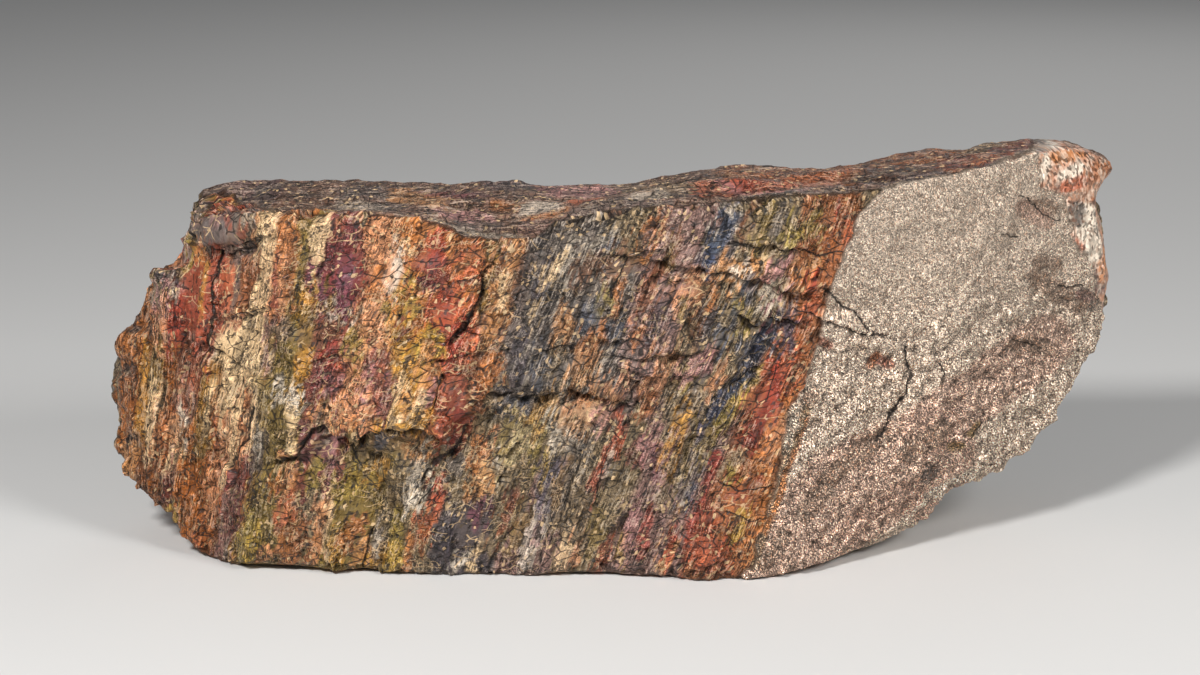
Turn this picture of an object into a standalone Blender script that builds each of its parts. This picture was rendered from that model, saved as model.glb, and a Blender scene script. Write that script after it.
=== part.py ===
"""Petrified wood: one broken chunk of a fossil log, resting on a narrow flat spot.

The log's grain runs up the front face and leans to the right. The top, the bottom and
the left end are cross breaks, the front and back are splits along the grain, and the
right side is the outer rind of the log.

Lengths are in millimetres until the last step, which turns them into metres. While the
block is being shaped, X runs to the right, Y to the back and Z up, with Y = 0 on the
front face and Z = 0 on the ground. The finished piece has its origin at the middle of
its box, on the ground.
"""

import math

import bmesh
import bpy
import numpy as np

MM = 0.001
NAME = "petrified_wood"

# The outline is the edge of the block against the background, as an eye in front of it
# and a little above sees it, laid on the plane of the front face.
EYE_BACK = 1222.6
EYE_HEIGHT = 417.4
BLOCK_FRONT = -30.0
BLOCK_BACK = 175.0

TOP_EDGE = (
    (-178, 176), (-169, 181), (-160, 184), (-135, 183), (-72, 182), (-36, 182), (4, 181), (25, 183),
    (40, 187), (63, 189), (99, 189), (119, 193), (140, 198), (162, 196), (164, 199), (191, 202),
    (196, 204),
)
RIGHT_EDGE = (
    (214, 200), (228, 193), (228, 189), (221, 177), (223, 165), (224, 157), (223, 149), (227, 146),
    (228, 139), (225, 125), (224, 112), (217, 102), (211, 89), (202, 70), (195, 61), (190, 56),
)
BOTTOM_EDGE = (
    (180, 53), (169, 46), (155, 40), (151, 33), (146, 27), (137, 21), (124, 16), (110, 9), (97, 4),
    (81, 0), (54, -4), (25, 0), (-9, 2), (-22, 3), (-45, 1), (-72, -3), (-121, -1), (-139, 4),
    (-162, 6), (-177, 4),
)
LEFT_EDGE = (
    (-180, 7), (-189, 16), (-198, 25), (-202, 31), (-205, 38), (-211, 41), (-220, 46), (-218, 54),
    (-216, 61), (-216, 75), (-219, 87), (-217, 99), (-214, 114), (-208, 122), (-204, 127),
    (-201, 138), (-198, 142), (-194, 146), (-187, 147), (-186, 153), (-181, 161), (-179, 169),
)

# Each break is a plane: a point on it and the direction that it faces.
BREAKS = (
    # front split, in two that meet along a blunt rib
    ((-40, 0, 80), (-0.02, -1, 0.03)),
    ((-109, -3, 0), (-0.14, -1, 0.03)),
    # left end, turned away from the front along the cream ridge
    ((-157, 7, 80), (-0.57, -0.82, 0.05)),
    # rind of the log, rounding away on the right
    ((88, 0, 90), (0.22, -0.97, 0.02)),
    ((118, 8, 90), (0.42, -0.91, -0.02)),
    ((165, 31, 90), (0.58, -0.81, -0.08)),
    ((178, 43, 60), (0.55, -0.80, -0.22)),
    # upper right corner
    ((214, 60, 178), (0.60, -0.66, 0.46)),
    # top, rising a little to the right, and falling away at the back
    ((-100, 0, 170), (-0.052, 0.0, 1)),
    ((100, 0, 177), (-0.075, -0.06, 1)),
    ((-60, 112, 167), (-0.04, 0.36, 0.93)),
    # back split and its two ends
    ((0, 142, 90), (0.04, 1, 0.12)),
    ((60, 144, 40), (-0.10, 1, -0.22)),
    ((-110, 128, 60), (-0.26, 0.96, -0.08)),
    ((-242, 66, 100), (-0.72, 0.69, 0.05)),
    ((258, 100, 140), (0.86, 0.50, -0.10)),
    # underside, a little hollow, lifting off the ground at the ends and the back
    ((0, 60, 0.8), (0, 0, -1)),
    ((0, 92, 0), (-0.03, 0.20, -0.97)),
    ((127, 60, 2), (0.42, 0.22, -0.88)),
    ((-189, 20, 2), (-0.50, 0.12, -0.84)),
)

# The grain leans to the right by this much from left to right across the front.
GRAIN_LEAN_LEFT = 0.16
GRAIN_LEAN_RIGHT = 0.50

VOXEL = 2.2
HEAL_VOXEL = 1.9
MOST_TRIANGLES = 9600

# Ledges and cracks wander off their paths by this much, over this length.
WANDER = 2.2
WANDER_LENGTH = 11.0

# Ledges on the front: the path of each lower edge from left to right, how far the stone
# above it stands out, and how far up that lip fades back into the face.
LEDGES = (
    (((-135, 57), (-133, 62), (-126, 67), (-109, 68), (-72, 68), (-60, 76)), 7.5, 95),
    (((-109, 60), (-95, 62), (-72, 60), (-66, 64)), 3.0, 16),
    (((-49, 96), (-25, 90), (-18, 90), (18, 86), (24, 90)), 5.0, 42),
    (((-45, 108), (-33, 103), (-22, 99)), 2.5, 20),
    (((22, 147), (45, 143), (86, 136), (103, 129)), 4.0, 30),
    (((63, 155), (83, 153)), 2.5, 12),
    (((60, 119), (72, 118), (90, 120)), 3.0, 16),
    (((0, 110), (18, 107), (40, 105)), 2.5, 18),
    (((9, 98), (29, 95)), 2.0, 12),
    (((-200, 60), (-188, 66), (-178, 64)), 3.0, 30),
    (((-176, 96), (-170, 92), (-160, 95)), 2.5, 30),
    (((-186, 152), (-176, 152), (-170, 150), (-158, 153), (-150, 158)), 5.5, 30),
    (((100, 118), (118, 112), (134, 104)), 1.8, 14),
)

# Open cracks on the front: the path, the depth and the half width.
CRACKS = (
    (((-170, 147), (-172, 134), (-175, 110)), 4.0, 2.2),
    (((-178, 109), (-168, 103), (-158, 95)), 3.0, 2.0),
    (((-54, 134), (-55, 129), (-63, 119)), 3.5, 2.5),
    (((-72, 92), (-76, 73)), 3.5, 2.2),
    (((-58, 68), (-68, 58), (-78, 45)), 5.0, 4.5),
    (((101, 133), (117, 122), (133, 110)), 2.5, 2.2),
    (((137, 101), (139, 89), (128, 63)), 3.5, 2.6),
    (((153, 101), (155, 94)), 3.0, 2.0),
    (((170, 75), (173, 70)), 3.0, 2.0),
)

# Broad hollows (negative) and swells (positive) on the front: the middle, the half
# lengths across and along the grain, and the height.
SWELLS = (
    ((-119, 137), (11, 26), -4.0),
    ((-92, 120), (17, 44), 3.0),
    ((-100, 30), (30, 22), -3.5),
    ((-64, 28), (12, 24), 3.0),
    ((-38, 50), (20, 24), -3.5),
    ((15, 30), (22, 26), 3.5),
    ((54, 8), (26, 22), 6.0),
    ((30, 120), (30, 18), 3.0),
    ((70, 88), (18, 34), -3.5),
    ((62, 140), (22, 18), 2.5),
    ((160, 130), (36, 30), 4.0),
    ((128, 95), (16, 18), -2.5),
    ((178, 84), (20, 22), 3.0),
    ((150, 55), (26, 16), 2.5),
    ((-206, 74), (7, 30), 4.0),
    ((-194, 96), (5, 26), -3.0),
    ((-186, 60), (6, 30), 3.0),
    ((-192, 128), (7, 14), 4.0),
)

# Ledges on the back, in the same form, measured along X and Z.
BACK_LEDGES = (
    (((-190, 70), (-150, 78), (-110, 66), (-70, 72), (-30, 60)), 6.0, 80),
    (((-60, 120), (-20, 128), (30, 118), (80, 126), (120, 112)), 4.5, 34),
    (((20, 60), (60, 68), (110, 58), (150, 74)), 4.0, 40),
)

# Small bumps and dips on the top: the middle along X and Y, the half lengths, the height.
TOP_SWELLS = (
    ((-150, 80), (10, 12), 5.0),
    ((20, 62), (46, 10), -3.0),
    ((70, 40), (50, 12), 3.5),
    ((-95, 50), (34, 9), -3.0),
    ((150, 60), (26, 12), -3.5),
)

# Scoops out of the front rim of the top: the middle along X, the half length, how far it
# reaches back, and how far it dips; a rise has a negative dip. The stone between the two
# heights follows it.
RIM_SCOOPS = (
    (-44, 22, 30, 9.0),
    (-22, 26, 16, 8.0),
    (-154, 36, 38, -12.0),
    (-102, 20, 26, -5.5),
    (58, 16, 14, 3.0),
)
SCOOP_FOOT = 118.0
SCOOP_TOP = 168.0

# Broken blocks: the size of a block across the grain, along it and into the stone, and
# the most that one block stands out from its neighbour.
BLOCKS = (
    ((19, 42, 30), 4.2),
    ((9, 20, 16), 2.0),
)
RIND_START = 100.0
RIND_LEAN = 0.30
RIND_LUMP = 2.2

# The stone rests on this spot: its middle and its half lengths along X and Y.
SPOT_MIDDLE = (-35, 52)
SPOT_HALF = (85, 34)
SPOT_SWELL = 4.0

STONE_COLOUR = (0.30, 0.17, 0.10, 1.0)
STONE_ROUGHNESS = 0.72


def clear_scene():
    for old in list(bpy.data.objects):
        bpy.data.objects.remove(old, do_unlink=True)


def new_collection(name):
    collection = bpy.data.collections.new(name)
    bpy.context.scene.collection.children.link(collection)
    return collection


def smooth_step(value, low, high):
    share = np.clip((value - low) / (high - low), 0.0, 1.0)
    return share * share * (3.0 - 2.0 * share)


def cell_random(cells, salt):
    """A repeatable number from 0 to 1 for each row of whole numbers."""
    mixed = np.sin(cells @ np.array((127.1, 311.7, 74.7)) + salt * 43.3) * 43758.5453
    return mixed - np.floor(mixed)


def soft_noise(points, salt):
    """Smooth noise from -1 to 1, with one lattice cell a unit wide."""
    base = np.floor(points)
    share = points - base
    share = share * share * (3.0 - 2.0 * share)
    total = np.zeros(len(points))
    for corner in np.ndindex(2, 2, 2):
        weight = np.prod(np.where(corner, share, 1.0 - share), axis=1)
        total += weight * cell_random(base + corner, salt)
    return total * 2.0 - 1.0


def block_height(points, salt):
    """The height, from -1 to 1, of the broken block that each point lies in."""
    base = np.floor(points)
    nearest = np.full(len(points), 9.0)
    height = np.zeros(len(points))
    for offset in np.ndindex(3, 3, 3):
        cell = base + np.array(offset) - 1.0
        seed = np.stack([cell_random(cell, salt + axis) for axis in range(3)], axis=1)
        distance = np.linalg.norm(cell + seed - points, axis=1)
        closer = distance < nearest
        nearest[closer] = distance[closer]
        height[closer] = cell_random(cell, salt + 5)[closer] * 2.0 - 1.0
    return height


def path_measure(across, up, path):
    """How far each point is from a path, how far above it, and how far outside its ends."""
    nearest = np.full(len(across), 1e6)
    above = np.zeros(len(across))
    for (x0, z0), (x1, z1) in zip(path[:-1], path[1:]):
        length = math.hypot(x1 - x0, z1 - z0)
        along = ((across - x0) * (x1 - x0) + (up - z0) * (z1 - z0)) / length
        off = ((up - z0) * (x1 - x0) - (across - x0) * (z1 - z0)) / length
        held = np.clip(along, 0.0, length)
        distance = np.hypot(along - held, off)
        closer = distance < nearest
        nearest[closer] = distance[closer]
        above[closer] = off[closer]
    first, last = path[0][0], path[-1][0]
    outside = np.maximum(np.maximum(first - across, across - last), 0.0)
    return nearest, above, outside


def grain_lean(across):
    share = np.clip((across + 200.0) / 300.0, 0.0, 1.0)
    return GRAIN_LEAN_LEFT + (GRAIN_LEAN_RIGHT - GRAIN_LEAN_LEFT) * share


def face_view(points):
    """Where each point shows on the plane of the front face, seen from the eye."""
    spread = 1.0 + points[:, 1] / EYE_BACK
    across = points[:, 0] / spread
    up = EYE_HEIGHT + (points[:, 2] - EYE_HEIGHT) / spread
    return across, up


def outline_block():
    """The outline as a thick flat block, spread toward the back as the eye's view spreads."""
    curve = bpy.data.curves.new("outline", "CURVE")
    curve.dimensions = "2D"
    curve.fill_mode = "BOTH"
    curve.extrude = (BLOCK_BACK - BLOCK_FRONT) / 2.0
    corners = TOP_EDGE + RIGHT_EDGE + BOTTOM_EDGE + LEFT_EDGE
    spline = curve.splines.new("POLY")
    spline.points.add(len(corners) - 1)
    for point, (across, up) in zip(spline.points, corners):
        point.co = (across, up, 0.0, 1.0)
    spline.use_cyclic_u = True
    guide = bpy.data.objects.new("outline", curve)
    bpy.context.scene.collection.objects.link(guide)
    guide.rotation_euler = (math.pi / 2.0, 0.0, 0.0)
    guide.location = (0.0, (BLOCK_FRONT + BLOCK_BACK) / 2.0, 0.0)
    bpy.context.view_layer.update()
    evaluated = guide.evaluated_get(bpy.context.evaluated_depsgraph_get())
    mesh = bpy.data.meshes.new_from_object(evaluated)
    mesh.transform(guide.matrix_world)
    bpy.data.objects.remove(guide, do_unlink=True)
    points = read_points(mesh)
    spread = 1.0 + points[:, 1] / EYE_BACK
    points[:, 0] *= spread
    points[:, 2] = EYE_HEIGHT + (points[:, 2] - EYE_HEIGHT) * spread
    write_points(mesh, points)
    return mesh


def read_points(mesh):
    flat = np.empty(len(mesh.vertices) * 3)
    mesh.vertices.foreach_get("co", flat)
    return flat.reshape(-1, 3)


def read_normals(mesh):
    flat = np.empty(len(mesh.vertices) * 3)
    mesh.vertices.foreach_get("normal", flat)
    return flat.reshape(-1, 3)


def write_points(mesh, points):
    mesh.vertices.foreach_set("co", points.ravel())
    mesh.update()


def split_off(mesh, point, facing):
    """Takes away what lies beyond a plane, and closes the cut."""
    bm = bmesh.new()
    bm.from_mesh(mesh)
    bmesh.ops.remove_doubles(bm, verts=bm.verts, dist=0.001)
    everything = list(bm.verts) + list(bm.edges) + list(bm.faces)
    bmesh.ops.bisect_plane(bm, geom=everything, plane_co=point, plane_no=facing, clear_outer=True)
    rim = [edge for edge in bm.edges if edge.is_boundary]
    bmesh.ops.holes_fill(bm, edges=rim, sides=0)
    bmesh.ops.recalc_face_normals(bm, faces=bm.faces)
    bm.to_mesh(mesh)
    bm.free()


def with_modifier(mesh, kind, **settings):
    """A new mesh: the old one after one modifier."""
    carrier = bpy.data.objects.new("carrier", mesh)
    bpy.context.scene.collection.objects.link(carrier)
    modifier = carrier.modifiers.new(kind.lower(), kind)
    for setting, value in settings.items():
        setattr(modifier, setting, value)
    evaluated = carrier.evaluated_get(bpy.context.evaluated_depsgraph_get())
    changed = bpy.data.meshes.new_from_object(evaluated)
    bpy.data.objects.remove(carrier, do_unlink=True)
    return changed


def ledge_relief(across, up, ledges):
    height = np.zeros(len(across))
    for path, lip, reach in ledges:
        nearest, above, outside = path_measure(across, up, path)
        lifted = smooth_step(above, -0.8, 0.8) * (1.0 - smooth_step(above, 0.0, reach))
        height += lip * lifted * (1.0 - smooth_step(outside, 0.0, 12.0))
        shade = smooth_step(above, -7.0, -0.5) * (above < 0.4) * (nearest < 9.0)
        height -= 0.45 * lip * shade
    return height


def crack_relief(across, up):
    height = np.zeros(len(across))
    for path, depth, half_width in CRACKS:
        nearest = path_measure(across, up, path)[0]
        height -= depth * (1.0 - smooth_step(nearest, 0.2 * half_width, 1.4 * half_width))
    return height


def swell_relief(across, up):
    height = np.zeros(len(across))
    for (middle_across, middle_up), (half_across, half_along), lift in SWELLS:
        lean = grain_lean(np.array([middle_across]))[0]
        along = (up - middle_up) / half_along
        sideways = (across - middle_across - lean * (up - middle_up)) / half_across
        height += lift * np.exp(-1.2 * (along**2 + sideways**2))
    return height


def flat_swells(points, swells):
    """Bumps and dips that are placed by X and Y."""
    height = np.zeros(len(points))
    for middle, half, lift in swells:
        share = (points[:, :2] - np.array(middle)) / np.array(half)
        height += lift * np.exp(-1.2 * np.sum(share**2, axis=1))
    return height


def rim_drop(points):
    """How far each point moves straight down for the scoops and rises of the front rim."""
    drop = np.zeros(len(points))
    for middle, half_length, reach, dip in RIM_SCOOPS:
        sideways = (points[:, 0] - middle) / half_length
        back = np.maximum(points[:, 1], 0.0) / reach
        drop += dip * np.exp(-(sideways**4) - back**2)
    return drop * smooth_step(points[:, 2], SCOOP_FOOT, SCOOP_TOP)


def grain_frame(points):
    """Each point across the grain, along it and into the stone."""
    lean = grain_lean(points[:, 0])
    return np.stack(
        [points[:, 0] - lean * (points[:, 2] - 80.0), points[:, 2], points[:, 1]], axis=1
    )


def block_relief(frame, wood):
    height = np.zeros(len(frame))
    for order, (size, most) in enumerate(BLOCKS):
        warped = frame + 3.0 * np.stack(
            [soft_noise(frame / 17.0, 20 + order * 3 + axis) for axis in range(3)], axis=1
        )
        height += most * 0.5 * block_height(warped / np.array(size), 40 + order * 7)
    return height * wood


def splinter_relief(frame, wood):
    """Long splinters that follow the grain."""
    stretched = frame / np.array((7.0, 70.0, 9.0))
    fine = frame / np.array((3.6, 36.0, 5.0))
    ridges = 1.0 - 2.0 * np.abs(soft_noise(stretched, 61))
    return wood * (1.5 * ridges + 0.8 * soft_noise(fine, 62) - 1.0)


def rind_relief(points, rind):
    """The rind is lumpy rather than splintered."""
    coarse = soft_noise(points / 26.0, 71)
    middle = soft_noise(points / 11.0, 72)
    return rind * RIND_LUMP * (coarse + 0.55 * middle)


def layered_relief(points):
    """Thin layers on the top and the underside, which run the long way."""
    stretched = points / np.array((58.0, 10.0, 6.0))
    fine = points / np.array((26.0, 5.0, 4.0))
    waves = points / np.array((34.0, 40.0, 30.0))
    steps = np.round(2.2 * soft_noise(stretched, 81)) / 2.2
    return 2.0 * steps + 1.0 * soft_noise(fine, 82) + 1.6 * soft_noise(waves, 83)


def relieve(mesh):
    """Moves the surface in and out to make ledges, cracks, blocks, splinters and lumps."""
    points = read_points(mesh)
    facing = read_normals(mesh)
    across, up = face_view(points)
    up += WANDER * soft_noise(points / WANDER_LENGTH, 11)
    across += WANDER * soft_noise(points / WANDER_LENGTH, 12)
    frame = grain_frame(points)
    front = smooth_step(-facing[:, 1], 0.25, 0.6)
    back = smooth_step(facing[:, 1], 0.4, 0.7)
    level = smooth_step(np.abs(facing[:, 2]), 0.65, 0.9)
    top = level * (facing[:, 2] > 0.0)
    spot = level - top
    boundary = RIND_START + RIND_LEAN * (points[:, 2] - 90.0) + 5.0 * soft_noise(points / 30.0, 91)
    rind = smooth_step(points[:, 0] - boundary, -3.0, 3.0)
    rind *= 1.0 - smooth_step(points[:, 1], 100.0, 116.0)
    wood = 1.0 - rind
    lift = front * (ledge_relief(across, up, LEDGES) + crack_relief(across, up))
    lift += front * swell_relief(across, up)
    lift += back * ledge_relief(points[:, 0], points[:, 2] + up - face_view(points)[1], BACK_LEDGES)
    upright = 1.0 - level
    lift += upright * (block_relief(frame, wood) + splinter_relief(frame, wood))
    lift += upright * rind_relief(points, rind)
    lift += level * layered_relief(points)
    lift += top * flat_swells(points, TOP_SWELLS)
    lift += spot * flat_swells(points, ((SPOT_MIDDLE, SPOT_HALF, SPOT_SWELL),))
    moved = points + facing * lift[:, None]
    moved[:, 2] -= rim_drop(points)
    write_points(mesh, moved)


def connected_piece(start):
    """All the corners that edges join to this one."""
    piece = {start}
    front = [start]
    while front:
        corner = front.pop()
        joined = {edge.other_vert(corner) for edge in corner.link_edges} - piece
        piece |= joined
        front.extend(joined)
    return piece


def drop_crumbs(mesh):
    """Keeps the largest piece, without crumbs that the relief broke off."""
    bm = bmesh.new()
    bm.from_mesh(mesh)
    left = set(bm.verts)
    pieces = []
    while left:
        pieces.append(connected_piece(next(iter(left))))
        left -= pieces[-1]
    largest = max(pieces, key=len)
    crumbs = [corner for corner in bm.verts if corner not in largest]
    bmesh.ops.delete(bm, geom=crumbs, context="VERTS")
    bm.to_mesh(mesh)
    bm.free()


def stand_on_ground(mesh):
    """Cuts the resting spot flat and puts the origin under the middle of the box."""
    split_off(mesh, (0.0, 0.0, 0.0), (0.0, 0.0, -1.0))
    drop_crumbs(mesh)
    points = read_points(mesh)
    low, high = points.min(axis=0), points.max(axis=0)
    points -= np.array(((low[0] + high[0]) / 2.0, (low[1] + high[1]) / 2.0, low[2]))
    write_points(mesh, points * MM)


def stone_material():
    material = bpy.data.materials.new("petrified_wood_stone")
    material.use_nodes = True
    shader = material.node_tree.nodes["Principled BSDF"]
    shader.inputs["Base Color"].default_value = STONE_COLOUR
    shader.inputs["Roughness"].default_value = STONE_ROUGHNESS
    shader.inputs["Metallic"].default_value = 0.0
    return material


def build_chunk(collection):
    mesh = outline_block()
    for point, facing in BREAKS:
        split_off(mesh, point, facing)
    mesh = with_modifier(mesh, "REMESH", mode="VOXEL", voxel_size=VOXEL)
    relieve(mesh)
    mesh = with_modifier(mesh, "REMESH", mode="VOXEL", voxel_size=HEAL_VOXEL)
    drop_crumbs(mesh)
    mesh.calc_loop_triangles()
    share = MOST_TRIANGLES / len(mesh.loop_triangles)
    mesh = with_modifier(mesh, "DECIMATE", ratio=share, use_collapse_triangulate=True)
    stand_on_ground(mesh)
    mesh.name = NAME
    mesh.materials.clear()
    mesh.materials.append(stone_material())
    chunk = bpy.data.objects.new(NAME, mesh)
    collection.objects.link(chunk)
    return chunk


def main():
    clear_scene()
    build_chunk(new_collection(NAME))


main()
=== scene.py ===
"""Looks of the petrified wood chunk: its fine surface, its colours, a pale floor and soft light.

The front is a split along the grain of the log, with jasper colours in bands that lean to
the right. The right end is the log's tan granular rind, with a crystal-crusted corner above
it, and the top is a cross break with thin wavy layers. Lengths are in millimetres until
they are written to the mesh.
"""

import math

import bmesh
import bpy
import numpy as np
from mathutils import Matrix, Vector


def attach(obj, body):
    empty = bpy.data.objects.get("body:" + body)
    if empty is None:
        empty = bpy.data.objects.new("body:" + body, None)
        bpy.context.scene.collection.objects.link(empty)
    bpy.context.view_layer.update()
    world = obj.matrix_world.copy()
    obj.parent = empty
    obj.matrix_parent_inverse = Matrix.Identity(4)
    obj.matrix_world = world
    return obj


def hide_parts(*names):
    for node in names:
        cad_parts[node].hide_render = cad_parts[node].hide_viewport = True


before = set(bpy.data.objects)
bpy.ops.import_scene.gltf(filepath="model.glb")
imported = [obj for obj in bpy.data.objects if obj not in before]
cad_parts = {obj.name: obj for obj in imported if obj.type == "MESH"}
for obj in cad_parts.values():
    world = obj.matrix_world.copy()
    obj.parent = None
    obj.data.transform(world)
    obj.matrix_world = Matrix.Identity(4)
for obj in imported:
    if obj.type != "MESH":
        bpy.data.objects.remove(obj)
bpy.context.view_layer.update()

MM = 0.001
NODE = "petrified_wood"

# From the middle of the stone's box to the point that places on the front are measured
# from. The eye stands in front of that point and a little above, looking down.
SHIFT = (6.8, 68.5, 0.0)
EYE_BACK = 1222.6
EYE_HEIGHT = 417.4
EYE_PITCH = 14.0
LENS = 84.0
SENSOR = 36.0

# The surface: a voxel mesh whose grid leans with the grain. Its faces are halved where
# they show: on the front, on the ends in view and on the near rim of the top.
VOXEL = 2.87
GRID_LEAN = 20.0
SMOOTHING_ROUNDS = 4
FRONT_FACING = -0.22
RIM_FACING = 0.3
RIM_DEPTH = 18.0

# How far the grain leans to the right for each millimetre up: at the left end, at the
# right end, where those ends are, and the height that the lean is counted from.
GRAIN_LEAN_LEFT = 0.16
GRAIN_LEAN_RIGHT = 0.50
GRAIN_LEFT = -200.0
GRAIN_RIGHT = 100.0
GRAIN_HEIGHT = 80.0

# Where the top fades out to the right, where the rind and the crystals fade out to the
# back, how far back the rim of the top counts, and how far back the rear face lies.
TOP_END = (191.0, 195.0)
RIND_BACK = (100.0, 106.0)
CRYSTAL_BACK = (118.0, 126.0)
NEAR_TOP = 90.0
BACK_DEPTH = 145.0

# Sizes of the broken shapes in the surface: across the grain, along it and into the stone.
LONG_SPLINTER = (5.2, 60.0, 9.0)
FINE_SPLINTER = (3.0, 24.0, 5.0)
BIG_CHIP = (9.0, 17.0, 12.0)
SMALL_CHIP = (5.0, 6.0, 7.0)
PAINT_CHIP = (2.2, 12.0, 6.0)

# Sizes of the layers of the top: along the stone, to the back and up.
BROAD_LAYER = (60.0, 9.0, 7.0)
THIN_LAYER = (16.0, 3.6, 4.0)

# Sizes of the fine patterns in the material: across the grain and along it.
PLATE = (5.4, 5.6)
SPLINTER = (1.5, 22.0)
CHIP = (1.2, 1.5)
GRIT = (0.8, 0.8)
FIBRE = (0.8, 4.0)
STREAK = (0.9, 30.0)
WOOD_PATCH = (11.0, 8.0)
SEAM = (7.0, 3.6)
GRANULE = (0.85, 0.8)
SPECK = (0.65, 0.65)
MOTTLE = (4.5, 4.5)
WRINKLE = (3.0, 1.9)
CRYSTAL = (1.5, 1.4)
CRUST_PATCH = (6.0, 6.0)
RAGGED_CRACK = (2.2, 2.2)
GLOSS_PATCH = (9.0, 9.0)

FLOOR_HALF = 12.0
FLOOR_COLOUR = (0.74, 0.73, 0.71, 1.0)

# Lights: the name, the way to it round the stone and above the floor in degrees, how far
# away it stands and how wide it is in metres, and its power in watts.
LIGHTS = (
    ("key", -26.0, 40.0, 1.7, 0.30, 24.0),
    ("fill", 44.0, 34.0, 1.8, 0.60, 15.0),
    ("back", 160.0, 32.0, 2.0, 1.2, 3.6),
)
LIGHT_TARGET = (0.0, 0.0, 0.08)
SKY = (0.80, 0.82, 0.86, 1.0)
SKY_STRENGTH = 0.15

# Colours as red, green and blue of the finished picture, from 0 to 255.
PALETTE = {
    "brick": (154, 74, 50),
    "red": (166, 62, 44),
    "dark_red": (118, 42, 34),
    "maroon": (124, 54, 54),
    "purple": (118, 66, 78),
    "pink": (190, 134, 130),
    "salmon": (214, 146, 100),
    "coral": (192, 100, 64),
    "cream": (242, 204, 154),
    "pale": (240, 222, 200),
    "ochre": (194, 138, 54),
    "yellow": (200, 160, 70),
    "olive": (126, 102, 46),
    "moss": (158, 134, 62),
    "orange": (196, 122, 64),
    "amber": (172, 98, 38),
    "rust": (160, 94, 52),
    "brown": (120, 76, 48),
    "tan": (204, 142, 86),
    "slate": (98, 88, 82),
    "blue": (78, 86, 102),
    "navy": (48, 56, 82),
    "dusk": (70, 62, 70),
    "khaki": (128, 108, 80),
    "ash": (196, 180, 160),
    "mauve": (140, 106, 98),
    "black": (34, 27, 24),
    "umber": (66, 50, 42),
    "granule": (232, 209, 186),
    "granule_pink": (208, 171, 150),
    "granule_dark": (156, 130, 110),
    "layer": (124, 94, 78),
    "layer_grey": (112, 100, 94),
    "crystal": (198, 142, 112),
}

# Strokes of colour on the front, each laid over those before it: the colour, half the
# width, then how far across and how far up each point of the path is.
BROAD_STROKES = (
    ("amber", 16, -214, 40, -200, 120), ("amber", 16, -202, 20, -184, 90),
    ("brick", 15, -186, 118, -168, 158), ("coral", 12, -178, 0, -162, 70),
    ("cream", 12, -162, 70, -152, 175), ("olive", 13, -158, 0, -142, 70, -132, 125),
    ("salmon", 9, -148, 118, -138, 172), ("olive", 9, -134, 118, -127, 175),
    ("maroon", 15, -124, 100, -114, 162), ("olive", 22, -116, 0, -100, 50),
    ("salmon", 13, -112, 76, -94, 168), ("ochre", 15, -88, 72, -80, 118),
    ("orange", 14, -84, 130, -74, 168), ("khaki", 16, -88, 20, -74, 60),
    ("brick", 12, -70, 70, -64, 112), ("rust", 12, -62, 128, -52, 160),
    ("brown", 12, -56, 90, -38, 158), ("dusk", 14, -64, 0, -56, 30),
    ("khaki", 22, -52, 30, -30, 80), ("ash", 8, -44, 60, -30, 74),
    ("mauve", 16, -34, 0, -16, 40), ("slate", 17, -32, 95, -12, 160),
    ("khaki", 16, -10, 30, 6, 70), ("ash", 13, -14, 72, -4, 86), ("slate", 13, -4, 92, 10, 136),
    ("mauve", 20, 18, 0, 50, 70), ("mauve", 18, 24, 90, 40, 168),
    ("khaki", 20, 46, 90, 76, 170), ("rust", 16, 52, 0, 84, 90),
    ("rust", 14, 90, 100, 104, 176),
)

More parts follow.
